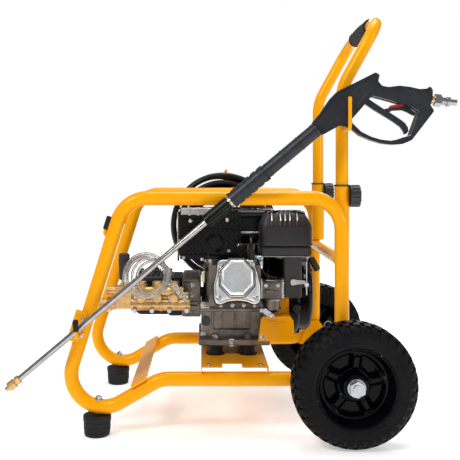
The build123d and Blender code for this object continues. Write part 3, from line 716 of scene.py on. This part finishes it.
def weld_beads():
    """Rippled beads at the ends of the rear bar and of the front plate."""
    g = Geo()
    for y in (-194, 194):
        weld = place((-16, y, 383), (0, 1, 0))
        ring = [around(weld, 14.2 + 0.5 * sin(turn * 26), turn, 0) for turn in circle(90)]
        g.tube([*ring, ring[0]], 2.0, 8)
    for side in (-1, 1):
        for x, z in ((-444, 101), (-468, 87)):
            path = [Vector((x, side * (SIDE_Y - 6 - 3 * i), z + 15.5 + 0.6 * sin(i * 2.2))) for i in range(7)]
            g.tube(path, 1.8, 8)
    g.piece("weld_beads", "frame", "frame_paint")


def feet():
    """The two rubber feet, with ribs around their lower half."""
    g = Geo()
    section = [(0, 0), (25, 0), (27.5, 1.5), (28.6, 8), (27.6, 9), (27.6, 11), (28.8, 12), (29.4, 30),
               (28.6, 31), (28.6, 32.5), (30.8, 33.5), (31, 43), (29.6, 45.2), (17, 45.4), (0, 45.4)]
    for side in (-1, 1):
        at = place((FOOT_X, side * SIDE_Y, 0), UP)
        g.lathe(at, section, 56)
        for turn in circle(24):
            g.tube([around(at, 28.7, turn, 13), around(at, 29.1, turn, 30)], 0.9, 6)
    g.piece("ribbed_feet", "frame", "black_rubber", replaces=["rubber_feet"])


def spring_clip():
    """The wire clip on the engine plate."""
    g = Geo()
    loop = [Vector((4, 188, 154)), Vector((9, 188, 164))]
    for i in range(11):
        turn = radians(170 - 17 * i)
        loop.append(Vector((19 + 9 * cos(turn), 188, 166 + 8 * sin(turn))))
    loop += [Vector((25, 188, 158)), Vector((31, 188, 153))]
    g.tube(loop, 1.5, 8)
    g.piece("spring_clip", "frame", "bright_steel")


def engine_mounts():
    """The waisted rubber mounts under the engine, with their bolts and nuts."""
    g = Geo()
    waist = [(8, 0), (21, 0), (21, 2.5), (17.5, 3.4), (16, 11), (17.5, 18.6), (21, 19.5), (21, 22), (8, 22)]
    for x, y in MOUNTS:
        g.lathe(place((x, y, 153), UP), waist, 36, closed=True)
    g.piece("mount_rubbers", "frame", "black_rubber", replaces=["engine_mounts"])
    g = Geo()
    for x, y in MOUNTS:
        g.bolt((x, y, 190), UP, 12, 8)
        g.stack(place((x, y, 150), DOWN), polygon(6, 13), [(0, 0), (8, 0), (9, 1)])
        g.lathe(place((x, y, 140), UP), [(0, 0), (4, 0), (4, 12), (0, 12)], 14)
    g.piece("mount_bolts", "frame", "zinc_steel")


hook_caps()
frame_bolts()
weld_beads()
feet()
spring_clip()
engine_mounts()


# ---------------------------------------------------------------- engine


def cylinder_place(offset, x=0.0, y=0.0):
    """Axes on a plane across the cylinder, with x to the right and y up."""
    up = Vector((0, sin(CYLINDER_TILT), cos(CYLINDER_TILT)))
    return place(CYLINDER_FOOT + CYLINDER * offset + Vector((x, 0, 0)) + up * y, CYLINDER, RIGHT)


def rocker_cover():
    """The cast cover with its octagonal boss and corner lobes, dark rings painted as the shade of its groove,
    and its bolts and gasket.
    """
    outline = [(-51, -38), (-47, -49), (-38, -52), (-20, -45), (0, -43), (20, -45), (38, -52), (48, -49),
               (52, -38), (52, -10), (45, 22), (38, 42), (31, 48), (-31, 48), (-39, 46), (-43, 40), (-45, 20),
               (-52, -10)]
    foot, middle = 206, 4
    g = Geo()
    at = cylinder_place(foot, middle)
    g.stack(at, outline, [(0, 0.5), (1, 0), (5, 0), (6, 0.8), (6.2, 2.4), (11, 3.2), (14, 5.2), (15, 8)])
    boss = [(x * 0.5, y * 0.54) for x, y in polygon(8, 148, pi / 8)]
    boss_at = cylinder_place(foot, middle, 6)
    step = [(8, -3), (15, -2.5), (16, 0), (22, 1), (24.5, 3.5), (25.2, 6), (24.4, 7), (24.2, 30)]
    g.stack(boss_at, boss, step)
    for x, y in COVER_CORNERS:
        lobe = [(0, 0), (8, 0), (7.6, 14), (6.6, 15.5), (0, 15.5)]
        g.lathe(cylinder_place(foot, middle + x, y), lobe, 28)
    for x, y in ((-30, 44), (0, 45), (28, 44)):
        g.lathe(cylinder_place(foot, middle + x, y), [(0, 0), (2.4, 0), (2.2, 15), (0, 15.5)], 12)
    g.piece("rocker_cover_casting", "frame", "bright_cover", 30, ["rocker_cover"], bevel=0.5)
    g = Geo()
    # painted shade: two raised rings of darker cast aluminium around the boss stand in for the shade inside
    # its groove
    for grow, h, r in ((-3.4, 14.9, 1.5), (-0.3, 18.5, 1.0)):
        ring = [boss_at @ Vector((x, y, h)) for x, y in inset(boss, grow)]
        g.tube([*ring, ring[0]], r, 8)
    g.piece("cover_groove_shade", "frame", "cast_aluminium")
    g = Geo()
    for x, y in COVER_CORNERS:
        g.bolt(cylinder_place(foot, middle + x, y) @ Vector((0, 0, 15)), CYLINDER, 8, 5.5)
    for x in (-32, -6, 20, 44):
        g.bolt(cylinder_place(196, x, -52).translation, CYLINDER, 7, 6)
    g.piece("cover_bolts", "frame", "zinc_steel")
    g = Geo()
    rim = [at @ Vector((x, y, -0.8)) for x, y in inset(outline, -1)]
    g.tube([*rim, rim[0]], 1.2, 8)
    g.piece("cover_gasket", "frame", "black_rubber")


def base_plate():
    """The folded engine plate across the lower tubes, and the guard plate beside the engine's foot."""
    g = Geo()
    for x in ((-327, -279.5), (-236.5, -178)):
        g.box(x, (-224, 224), (150, 153), 0.8)
    g.box((-281, -235), (-190, 224), (150, 153), 0.8)
    for x in ((-327, -324), (-181, -178)):
        g.box(x, (-224, 224), (139, 152), 0.8)
    guard = [(-194, 186), (-188, 238), (-182, 244), (-119, 244), (-112, 234), (-110, 196), (-116, 188)]
    g.slab(place((0, 0, 0), NEAR, RIGHT), guard[::-1], 119, 122, 0.8)
    g.box((-163, -118), (-121, -76.4), (241, 244), 0.6)
    g.box((-163, -118), (-79.4, -76.4), (241, 284), 0.6)
    g.tube([(-178, -122.4, 236), (-160, -122.4, 232), (-128, -122.4, 232)], 1.4, 8)
    g.piece("engine_plate", "frame", "frame_paint", 30, ["engine_base_plate"])


def crankcase_panel(g):
    """The raised panel on the crankcase's near face, with a sunk window."""
    front = place((-255, -82, 0), NEAR, RIGHT)  # its x is X and its y is Z
    middle = 229
    ring = [(x, y + middle) for x, y in rounded(140, 84, 10, 4)]
    hole = [(x, y + middle) for x, y in rounded(88, 42, 6, 4)]
    n = len(ring)
    levels = ((ring, 0), (inset(ring, 0.8), 6), (inset(hole, -1), 6), (hole, -1))
    verts = [front @ Vector((x, y, h)) for outline, h in levels for x, y in outline]
    faces = [[k * n + i, k * n + (i + 1) % n, (k + 1) * n + (i + 1) % n, (k + 1) * n + i]
             for k in range(3) for i in range(n)]
    faces += [[3 * n + i, 3 * n + (i + 1) % n, (i + 1) % n, i] for i in range(n)]
    g.add(verts, faces)


def crankcase_details():
    """Flanges, ribs, bolts and gaskets of the crankcase, and the cable's bracket."""
    g = Geo()
    crankcase_panel(g)
    g.box((-330, -178), (-98, -80), (262, 274), 1.5)
    g.box((-326, -182), (-94, -80), (250, 259), 1.2)
    g.box((-286, -212), (-92, -82), (203, 208), 1.2)
    g.box((-308, -202), (-119.5, -117), (176, 189), 1)
    for x in (-320, -300, -276, -246, -218, -192):
        g.box((x - 2, x + 2), (-90, -80), (210, 250), 1)
    for x in (-322, -186):
        g.lathe(place((x, -82, 196), NEAR), [(0, 0), (9, 0), (8.4, 7), (0, 7)], 24)
    for i in range(5):
        z = 200 + 26 * i
        g.box((-174, -169.5), (-60, 90), (z, z + 5), 1)
    g.piece("crankcase_ribs", "frame", "cast_aluminium", 30, bevel=0.4)
    g = Geo()
    for x in (-322, -296, -262, -236, -208, -186):
        g.bolt((x, -98, 268), NEAR, 8, 5)
    for x in (-322, -186):
        g.bolt((x, -89, 196), NEAR, 8, 5)
    g.bolt((-256, -118, 183), NEAR, 10, 7)
    g.piece("crankcase_bolts", "frame", "zinc_steel")
    g = Geo()
    g.lathe(place((-256, -117, 183), NEAR), [(5, 0), (9, 0), (9, 2.2), (5, 2.2)], 24, closed=True)
    g.box((-328, -180), (-96.5, -80), (259.2, 261.8), 0.4)
    g.piece("crankcase_gaskets", "frame", "fitting_steel")
    g = Geo()
    at = place((-170, -118, 250), NEAR, (0.8, 0, -0.6))
    g.slab(at, rounded(32, 13, 5), -1.5, 1.5)
    g.lathe(at @ Matrix.Translation((7, 0, 0)), [(0, 1), (5, 1), (4.4, 5), (0, 5)], 18)
    g.box((-190, -176), (-117, -110), (252, 262), 1)
    g.piece("cable_bracket", "frame", "zinc_steel")


SHIELD_X = (-380, -236)
SHIELD_Z = (372, 495)
SHIELD_Y = -112
OUTLET = Vector((-294, 414))  # in X and Z


def shield_front():
    """The muffler's pressed shield: rows of holes, stiffening ribs and a round outlet."""
    g = Geo()
    (left, right), (low, high) = SHIELD_X, SHIELD_Z
    columns, rows, edge, hole_r = 24, 20, 8, 1.9
    wide, tall = (right - left - edge) / columns, (high - low - edge) / rows
    square = [(-wide / 2, -tall / 2), (0, -tall / 2), (wide / 2, -tall / 2), (wide / 2, 0),
              (wide / 2, tall / 2), (0, tall / 2), (-wide / 2, tall / 2), (-wide / 2, 0)]
    corners = [radians(225 + 45 * j) for j in range(8)]
    hole = [(hole_r * cos(turn), hole_r * sin(turn)) for turn in corners]
    cell = [[k + j, k + (j + 1) % 8, k + 8 + (j + 1) % 8, k + 8 + j] for k in (0, 8) for j in range(8)]
    for i in range(columns):
        for k in range(rows):
            x, z = left + edge / 2 + wide * (i + 0.5), low + edge / 2 + tall * (k + 0.5)
            near = (Vector((x, z)) - OUTLET).length
            frame_of_cell = [(x + a, SHIELD_Y, z + b) for a, b in square]
            if near >= 24 and 1 <= k <= rows - 4 and i >= 2 and (i + k) % 2 == 0:
                mouth = [(x + a, y, z + b) for y in (SHIELD_Y, SHIELD_Y + 1.6) for a, b in hole]
                g.add(frame_of_cell + mouth, cell)
            elif near >= 19:
                g.add(frame_of_cell, [list(range(8))])
    at = place((OUTLET.x, SHIELD_Y, OUTLET.y), NEAR)
    g.lathe(at, [(25, -0.2), (21, 0.4), (19, 2.6), (16.4, 3.2), (14.6, 1.6), (13.6, -5), (0, -5)], 48)
    for z in (386, 446, 468):
        g.tube([(left + 6, SHIELD_Y, z), (right - 6, SHIELD_Y, z)], 1.9, 8)
    for x in (-362, -343, -324, -262, -247):
        g.tube([(x, SHIELD_Y, low + 8), (x, SHIELD_Y, 470)], 1.6, 8)
    g.piece("shield_front", "frame", "engine_black", 30)


def shield_sides():
    """The shield's folded sides and its rounded edge."""
    g = Geo()
    (left, right), (low, high) = SHIELD_X, SHIELD_Z
    near, far, cut, steps = -110, -62, 8, 6
    border = [(left, low), (left, high - cut), (left + cut, high), (right - cut, high), (right, high - cut),
              (right, low)]
    for (x0, z0), (x1, z1) in zip(border, border[1:]):
        for i in range(steps):
            ends = (i / steps, (i + 1) / steps)
            (xa, za), (xb, zb) = [(x0 + (x1 - x0) * t, z0 + (z1 - z0) * t) for t in ends]
            g.add([(xa, near, za), (xb, near, zb), (xb, far, zb), (xa, far, za)], [[0, 1, 2, 3]])
    for x0, z0, x1, z1 in ((left, low, left, high - cut), (right, low, right, high - cut),
                           (left, high, right, high)):
        g.tube([(x0, near - 0.2, z0), (x1, near - 0.2, z1)], 2.2, 8)
    g.piece("shield_sides", "frame", "engine_black", replaces=["heat_shield"])


def exhaust():
    """The shield, its plated bracket and fixings, and the elbow behind it."""
    shield_front()
    shield_sides()
    g = Geo()
    g.box((-374, -300), (-116, SHIELD_Y), (480, 496), 0.8)
    for x in (-354, -334, -314):
        g.box((x - 3, x + 3), (-118.5, -115), (478, 497), 1.2)
    g.piece("shield_bracket", "frame", "machined_steel", bevel=0.4)
    g = Geo()
    for x, z in ((-352, 466), (-266, 468)):
        g.bolt((x, SHIELD_Y, z), NEAR, 6, 4)
    g.box((-382.5, -380.5), (-112.5, -108), (384, 486), 0.5)
    g.box((-326, -318), (-116, -113), (322, 348), 0.8)
    g.piece("shield_fixings", "frame", "fitting_steel")
    g = Geo()
    for x, z in ((-325, 376), (-262, 396), (-368, 380)):
        g.bolt((x, -112.6, z), NEAR, 5, 3.5)
    g.box((-206, -184), (-133, -130), (376, 386), 1)
    g.bolt((-201, -133, 381), NEAR, 8, 5)
    g.bolt((-188, -133, 381), NEAR, 6, 4)
    g.piece("shield_screws", "frame", "zinc_steel")
    g = Geo()
    g.tube([(-300, -96, 392), (-302, -92, 374), (-296, -84, 358), (-286, -72, 344)], 15, 20)
    g.piece("exhaust_elbow", "frame", "machined_steel")


def tank():
    """The tank's rolled seam and brackets, a bright strip painted as a highlight on its front, its cap and
    its filler neck.
    """
    g = Geo()
    at = place((-250, 77.5, 0), UP, RIGHT)
    seam = rounded(246, 181, 26, 8)
    g.stack(at, seam, [(470, 0.8), (470.8, 0), (474.2, 0), (475, 0.8)])
    g.piece("tank_seam", "frame", "engine_black")
    g = Geo()
    # painted highlight: a bright steel strip across the tank's black front, where a reflection lies
    g.box((-232, -184), (-13.5, -10), (428, 433), 1)
    for x in (-352, -148):
        g.box((x - 9, x + 9), (-16, -9), (392, 412), 1)
    for x in (-352, -148):
        g.bolt((x, -16, 400), NEAR, 8, 5)
    g.piece("tank_brackets_and_highlight", "frame", "machined_steel", bevel=0.4)
    g = Geo()
    at = place((-197, 50, 0), UP)
    cap = [(22.6, 490), (30, 490), (31, 491.5), (31, 500), (29.5, 503), (25, 504.5), (8, 505), (0, 505)]
    g.lathe(at, cap, 64)
    for turn in circle(28):
        g.tube([around(at, 30.6, turn, 491.5), around(at, 30.4, turn, 500.5)], 1.3, 8)
    g.box((-222, -172), (46, 54), (503, 506.5), 1.5)
    g.piece("tank_cap", "fuel_cap", "black_plastic", replaces=["fuel_cap"])
    g = Geo()
    g.lathe(at, [(22.2, 486), (29, 486), (29, 489.4), (22.2, 489.4)], 56, closed=True)
    g.piece("filler_neck", "frame", "bright_steel")


def air_filter():
    """The filter's rounded lid with its ribs, bright steel strips on the ribs' upper crests painted as
    highlights, and the clip below it.
    """
    g = Geo()
    at = place((-128, -73, 0), UP, RIGHT)
    lid = rounded(120, 110, 15, 6)
    dome = [(408, 1), (409, 0), (450, 0), (456, 1.5), (470, 9), (480, 15), (486, 21), (488, 27), (488.2, 36)]
    g.stack(at, lid, dome)
    g.stack(at, inset(lid, -1.6), [(408.5, 0.8), (409.3, 0), (413.5, 0), (414.3, 0.8)])
    ribs = (-162, -142, -131, -120, -103)
    rib = ((-126, 453), (-122.4, 462), (-116.6, 472.5), (-110.4, 481.5), (-103.6, 486.4), (-96, 487))
    for x in ribs:
        g.tube([(x, y, z) for y, z in rib], 4.6, 10)
    g.piece("filter_lid", "frame", "black_plastic", 35, ["air_filter_cover"])
    # painted highlights: bright steel strips along the upper, outward crest of each black rib, where the
    # light glints
    g = Geo()
    for x in ribs:
        g.tube([(x, -124.2, 466), (x, -118.6, 476), (x, -114.4, 482)], 2.6, 8)
    g.piece("filter_rib_highlights", "frame", "machined_steel")
    g = Geo()
    g.tube([(-190, -122, 384), (-150, -128.5, 384), (-76, -128.5, 384)], 1.3, 8)
    g.piece("filter_clip", "frame", "machined_steel")


def carburettor_details():
    """Flanges, the bowl's rim and screws, the throttle's link, the fuel line and the plug's lead."""
    g = Geo()
    for x in (-187, -137):
        g.box((x - 3, x + 3), (-122, -78), (286, 330), 1.2)
        for z in (294, 322):
            g.cap_screw((x, -122, z), NEAR, 3.4, 3)
    g.lathe(place((-160, -99, 283), DOWN), [(20.5, 0), (21, 1), (21, 4), (19.4, 5), (0, 5)], 40)
    for x, z in ((-176, 316), (-148, 316), (-162, 300)):
        g.lathe(place((x, -118, z), NEAR), [(0, 0), (5, 0), (4.4, 3), (0, 3.4)], 20)
    g.piece("carburettor_details", "frame", "machined_steel", bevel=0.3)
    g = Geo()
    g.tube([(-176, -124, 329), (-150, -125, 327.5), (-136, -124, 326)], 1.5, 8)
    g.bolt((-160, -99, 253), DOWN, 11, 6)
    g.bolt((-146, -108, 256), (0.2, -0.4, -1), 7, 5)
    g.bolt((-158, -118, 300), NEAR, 5, 3, False)
    g.piece("carburettor_link", "frame", "bright_steel")
    g = Geo()
    fuel = [(-180, -104, 300), (-184, -110, 280), (-176, -112, 262), (-160, -108, 250), (-140, -104, 262)]
    lead = [(-213, -150, 385), (-198, -150, 380), (-190, -140, 358), (-176, -128, 340), (-150, -122, 334)]
    g.tube(fuel, 3, 12)
    g.tube(lead, 2.4, 10)
    g.piece("fuel_line", "frame", "black_rubber")


def recoil():
    """Slots and ribs of the fan cover and the starter, on the handle side."""
    g = Geo()
    at = place((-56, CRANK_Y, CRANK_Z), RIGHT, (0, 1, 0))
    g.lathe(at, [(0, 0.6), (26, 0.6), (27, 2.4), (31, 2.8), (33, 1), (34, -1)], 56)
    for turn in circle(24):
        g.tube([around(at, 41, turn, 0.4), around(at, 72, turn + 0.12, 0.2)], 2.6, 8, 0.7)
    g.torus(at @ Matrix.Translation((0, 0, -0.4)), 37, 2.2, 64, 8)
    g.torus(at @ Matrix.Translation((0, 0, -1.4)), 76, 2.2, 72, 8)
    for y, z in STARTER_EARS:
        g.lathe(place((-88, y, z), RIGHT), [(0, 0), (8, 0), (8, 8), (0, 8)], 24)
    g.piece("recoil_louvres", "frame", "engine_black", bevel=0.3)
    g = Geo()
    for y, z in STARTER_EARS:
        g.bolt((-80, y, z), RIGHT, 8, 5)
    for turn in (radians(45), radians(135), radians(225), radians(315)):
        g.bolt((-56, CRANK_Y + 15 * cos(turn), CRANK_Z + 15 * sin(turn)), RIGHT, 5, 3, False)
    g.piece("recoil_screws", "frame", "zinc_steel")
    g = Geo()
    bush = [(0, -6), (5, -6), (6.5, -3), (6.5, 2), (4, 4), (0, 4)]
    g.lathe(place((-66, -64, 342), (0.5, 0, -0.866)), bush, 24)
    g.piece("starter_guide", "frame", "black_plastic")


def spark_plug():
    """The plug's shell and hexagon on the cylinder head."""
    g = Geo()
    at = place((-212, -146, 362), UP)
    g.lathe(at, [(0, -12), (7, -12), (7, 0), (9, 0.5), (9, 2.4), (0, 2.4)], 28)
    g.stack(at, polygon(6, 15), [(2, 0.6), (2.6, 0), (8.4, 0), (9, 0.6)])
    g.lathe(at @ Matrix.Translation((22, 6, 2)), [(0, 0), (6, 0), (6, 10), (0, 12)], 20)
    g.piece("spark_plug", "frame", "zinc_steel")


rocker_cover()
base_plate()
crankcase_details()
exhaust()
tank()
air_filter()
carburettor_details()
recoil()
spark_plug()


# ---------------------------------------------------------------- pump and gearbox


def pump_screws():
    """Screws of the brass head, the gearbox and the flange."""
    g = Geo()
    for i in range(4):
        g.cap_screw((-480 + 40 * i, -134, 260), NEAR, 5.2, 5)
        g.cap_screw((-480 + 40 * i, -118, 288), NEAR, 4.4, 4)
    for z in (286, 310):
        g.bolt((-349, -72, z), NEAR, 8, 5)
    for y, z in ((-60, 244), (-60, 318), (66, 244), (66, 318)):
        g.bolt((-368, y, z), LEFT, 9, 6)
    g.piece("pump_screws", "frame", "zinc_steel")


def pump_plugs():
    """The brass head's valve caps, columns and rings."""
    g = Geo()
    for i in range(3):
        x = -466 + 38 * i
        at = place((x, -108, 316), UP)
        g.lathe(at, [(0, -2), (13.4, -2), (13.4, 0.5), (12, 1.4), (0, 1.4)], 32)
        g.stack(at, polygon(6, 21, 0.26), [(1, 0), (7, 0), (8.4, 1.4)])
        g.stack(place((x, -127, 287), NEAR), polygon(6, 18.6, 0.26), [(-8, 0), (3.4, 0), (4.6, 1.3)])
        g.lathe(place((x - 19, -104, 262), UP), [(0, 0), (7, 0), (7, 34), (5.5, 37), (0, 37)], 24)
    for x in (-490, -424, -360):
        ring = [(13, 0), (14.6, 0.6), (14.6, 7.4), (13, 8)]
        g.lathe(place((x, -118, 271), RIGHT), ring, 36, closed=True)
    for x, r in ((-527, 14.2), (-540, 13.2), (-553, 14.2)):
        ring = [(12.4, 0), (r, 0.8), (r, 5), (12.4, 5.8)]
        g.lathe(place((x, -111, 271), LEFT), ring, 36, closed=True)
    g.piece("pump_plugs", "frame", "brass", 34, bevel=0.3)


def pump_filler():
    """The pump's oil cap and the screws of its top."""
    g = Geo()
    for y in (-51, 51):
        for x in (-404, -476):
            g.cap_screw((x, y, 331), UP, 4, 4)
    g.lathe(place((-440, 10, 331.5), UP), [(0, 0), (11, 0), (11, 4), (8, 6), (8, 11), (0, 11)], 28)
    g.piece("pump_filler", "frame", "black_plastic")


def gearbox_ribs():
    """Cast ribs and panels on the gearbox's near face."""
    g = Geo()
    for x0, x1, z0, z1 in ((-368, -334, 239, 262), (-368, -352, 284, 316)):
        g.box((x0, x1), (-78, -74), (z0, z1), 1)
    for z in (238.5, 268, 322):
        g.box((-371, -329), (-79, -70), (z - 3, z + 3), 1.2)
    for x in (-370, -332):
        g.box((x - 2.5, x + 2.5), (-79, -68), (236, 326), 1.2)
    g.piece("gearbox_ribs", "frame", "cast_aluminium", 30, bevel=0.4)


def unloader():
    """The fluted pressure knob, the brass nut below it and the detergent barb."""
    x, y = -507, -108
    g = Geo()
    at = place((x, y, 328), UP)
    knob = [(5.2, 0), (10, 0), (11, 1), (11.6, 30), (12.8, 50), (13, 57), (11.6, 60.6), (8, 62), (0, 62)]
    g.lathe(at, knob, 48)
    for turn in circle(24):
        g.tube([around(at, r, turn, h) for r, h in ((10.9, 3), (11.5, 30), (12.7, 50))], 0.8, 6)
    g.piece("unloader_handwheel", "unloader_knob", "black_plastic", replaces=["unloader_knob"])
    g = Geo()
    at = place((x, y, 313), UP)
    g.stack(at, polygon(6, 20), [(0, 0.6), (0.6, 0), (6, 0), (6.6, 0.7)])
    g.lathe(at, [(5.2, 7), (7.6, 7), (7.6, 14), (5.2, 14)], 24, closed=True)
    for barb_y in (-130, -135, -140):
        barb = [(3.3, 0), (4.6, 0), (3.4, 4.4), (3.3, 4.4)]
        g.lathe(place((-499, barb_y, 304), NEAR), barb, 20, closed=True)
    g.piece("unloader_details", "frame", "brass", 34)


pump_screws()
pump_plugs()
pump_filler()
gearbox_ribs()
unloader()


# ---------------------------------------------------------------- gun, lance and handle


def gun_place(u, v, w=0.0, along=None):
    """Axes at a point given along the lance, across it and towards the viewer; z runs along."""
    across = Vector((-sin(LANCE_TILT), 0, cos(LANCE_TILT)))
    origin = Vector(GUN) + LANCE * u + across * v + Vector((0, -w, 0))
    return place(origin, along or LANCE)


def gun_details():
    """The shells' screw bosses and moulded lines, and the latch's red pad."""
    g = Geo()
    shell = place(GUN, NEAR, LANCE)
    for u, v in ((62, 20), (152, 4), (174, -129), (48, -10), (106, 12)):
        for side in (1, -1):
            at = gun_place(u, v, side * 16.6, (0, -side, 0))
            g.lathe(at, [(2.3, -0.6), (2.3, 0.8), (4.3, 0.8), (4.9, 0.2), (4.9, -0.6)], 20, closed=True)
    creases = (((157, -10), (148, -16), (138, -22)),
               ((150, 2), (126, 10), (112, 12), (96, 6), (76, -8), (68, -18), (76, -22), (100, -14),
                (124, -8), (142, -8)),
               ((196, -62), (188, -74), (188, -88), (194, -100), (206, -104)))
    for side in (1, -1):
        for path in creases:
            g.tube([shell @ Vector((u, v, side * 16.8)) for u, v in path], 0.8, 6)
    g.piece("gun_screw_bosses", "gun", "gun_plastic")
    g = Geo()
    pad = [(147, -66.5), (151, -68.5), (171.5, -81.5), (174.5, -80), (173.5, -75.6), (152, -62.6),
           (148, -62.2)]
    g.slab(shell, pad, -3.5, 3.5)
    g.piece("latch_pad", "safety_latch", "latch_red")


def lance_details():
    """The grip's ribs and bands, and the ring at the lance's collar."""
    g = Geo()
    for u in (-235, -217, -199, -181, -163):
        at = gun_place(u + 6.6, 0)
        for turn in circle(20):
            g.tube([around(at, 17.6, turn, 0.5), around(at, 17.6, turn, 10.5)], 0.9, 6)
    for u in (-140, -96, -52, -10):
        g.lathe(gun_place(u, 0), [(15.2, 0), (16.3, 0.6), (16.3, 3.4), (15.2, 4)], 40, closed=True)
    g.piece("lance_grip_ribs", "gun", "gun_plastic")
    g = Geo()
    ring = [(11, -2.4), (14, -2.4), (14.4, -1.6), (14.4, 1.6), (11, 1.6)]
    g.lathe(gun_place(-246, 0), ring, 40, closed=True)
    g.piece("lance_union", "gun", "fitting_steel")


def inlet_and_nozzle():
    """The brass nut and the plug's rings behind the gun, and the nozzle's thread at the lance's tip."""
    tail = Vector((cos(radians(7)), 0, -sin(radians(7))))
    at = place((146, -250, 738), tail)
    g = Geo()
    g.stack(at, polygon(6, 22), [(0.5, 1), (1.5, 0), (9, 0), (10, 1)])
    g.lathe(at, [(9, 10), (12.2, 10.4), (12.2, 17), (9, 17.4)], 36, closed=True)
    g.lathe(at, [(8, 17), (10, 17.4), (10, 28), (8, 28.4)], 36, closed=True)
    g.piece("inlet_nut", "gun", "brass", 34)
    g = Geo()
    for h in (46, 50, 54):
        g.lathe(at, [(7.9, h), (9, h + 0.5), (9, h + 2), (7.9, h + 2.5)], 30, closed=True)
    g.piece("plug_rings", "gun", "bright_steel")
    g = Geo()
    at = gun_place(-846, 0)
    for i in range(8):
        g.lathe(at, [(6.9, -20 + 1.6 * i), (7.6, -19.5 + 1.6 * i), (6.9, -19 + 1.6 * i)], 24, closed=True)
    g.piece("nozzle_ribs", "gun", "brass")


def handle_details():
    """The knobs' faces, the collars of the sockets, and the foam grip's ribs."""
    for name, side in (("near", -1), ("far", 1)):
        at = place((KNOB_X, side * KNOB_Y, KNOB_Z), RIGHT)
        g = Geo()
        g.lathe(at, [(17.5, -0.6), (17, 1.2), (14, 2.2), (6, 2.4), (5.6, 1.4), (0, 1.2)], 40)
        for i in range(10):
            turn = radians(36 * i + 18)
            g.tube([around(at, 12, turn, 2), around(at, 20.5, turn, 0)], 1.5, 8)
        g.piece(f"{name}_knob_face", f"{name}_knob", "black_plastic")
    g = Geo()
    collar = [(14.4, -0.5), (17.8, -0.5), (18.2, 0.4), (18.2, 2.6), (17.4, 3.4), (14.4, 3.4)]
    for side in (-1, 1):
        g.lathe(place((-10, side * KNOB_Y, 548), UP), collar, 40, closed=True)
    g.piece("socket_collars", "frame", "black_plastic")
    g = Geo()
    cuff = [(14.1, -4), (18.6, -4), (19.2, -2.5), (19.2, 1.5), (18, 3), (14.1, 3)]
    for side in (-1, 1):
        g.lathe(place((GRIP_X, side * GRIP_HALF, GRIP_Z), (0, side, 0)), cuff, 40, closed=True)
    for turn in circle(30):
        path = []
        for y in range(-76, 77, 19):
            r = 17 + 2.5 * (1 - (y / GRIP_HALF) ** 2)
            path.append((GRIP_X + r * cos(turn), y, GRIP_Z + r * sin(turn)))
        g.tube(path, 0.9, 6)
    g.piece("grip_ribs", "handle", "foam_grip")


gun_details()
lance_details()
inlet_and_nozzle()
handle_details()


# ---------------------------------------------------------------- the CAD nodes' finishes

FINISHES = {"safety_latch": "gun_plastic", "lance_collar": "engine_black",
            "fuel_lever": "cast_aluminium", "choke_lever": "machined_steel"}

for part in frame["record"]["subparts"]:
    shown = frame["nodes"][part["node"]]
    shown.data.materials.clear()
    finish = FINISHES.get(part["node"], part["material_slot"])
    shown.data.materials.append(MATERIALS[finish])
    shown.data.polygons.foreach_set("material_index", [0] * len(shown.data.polygons))
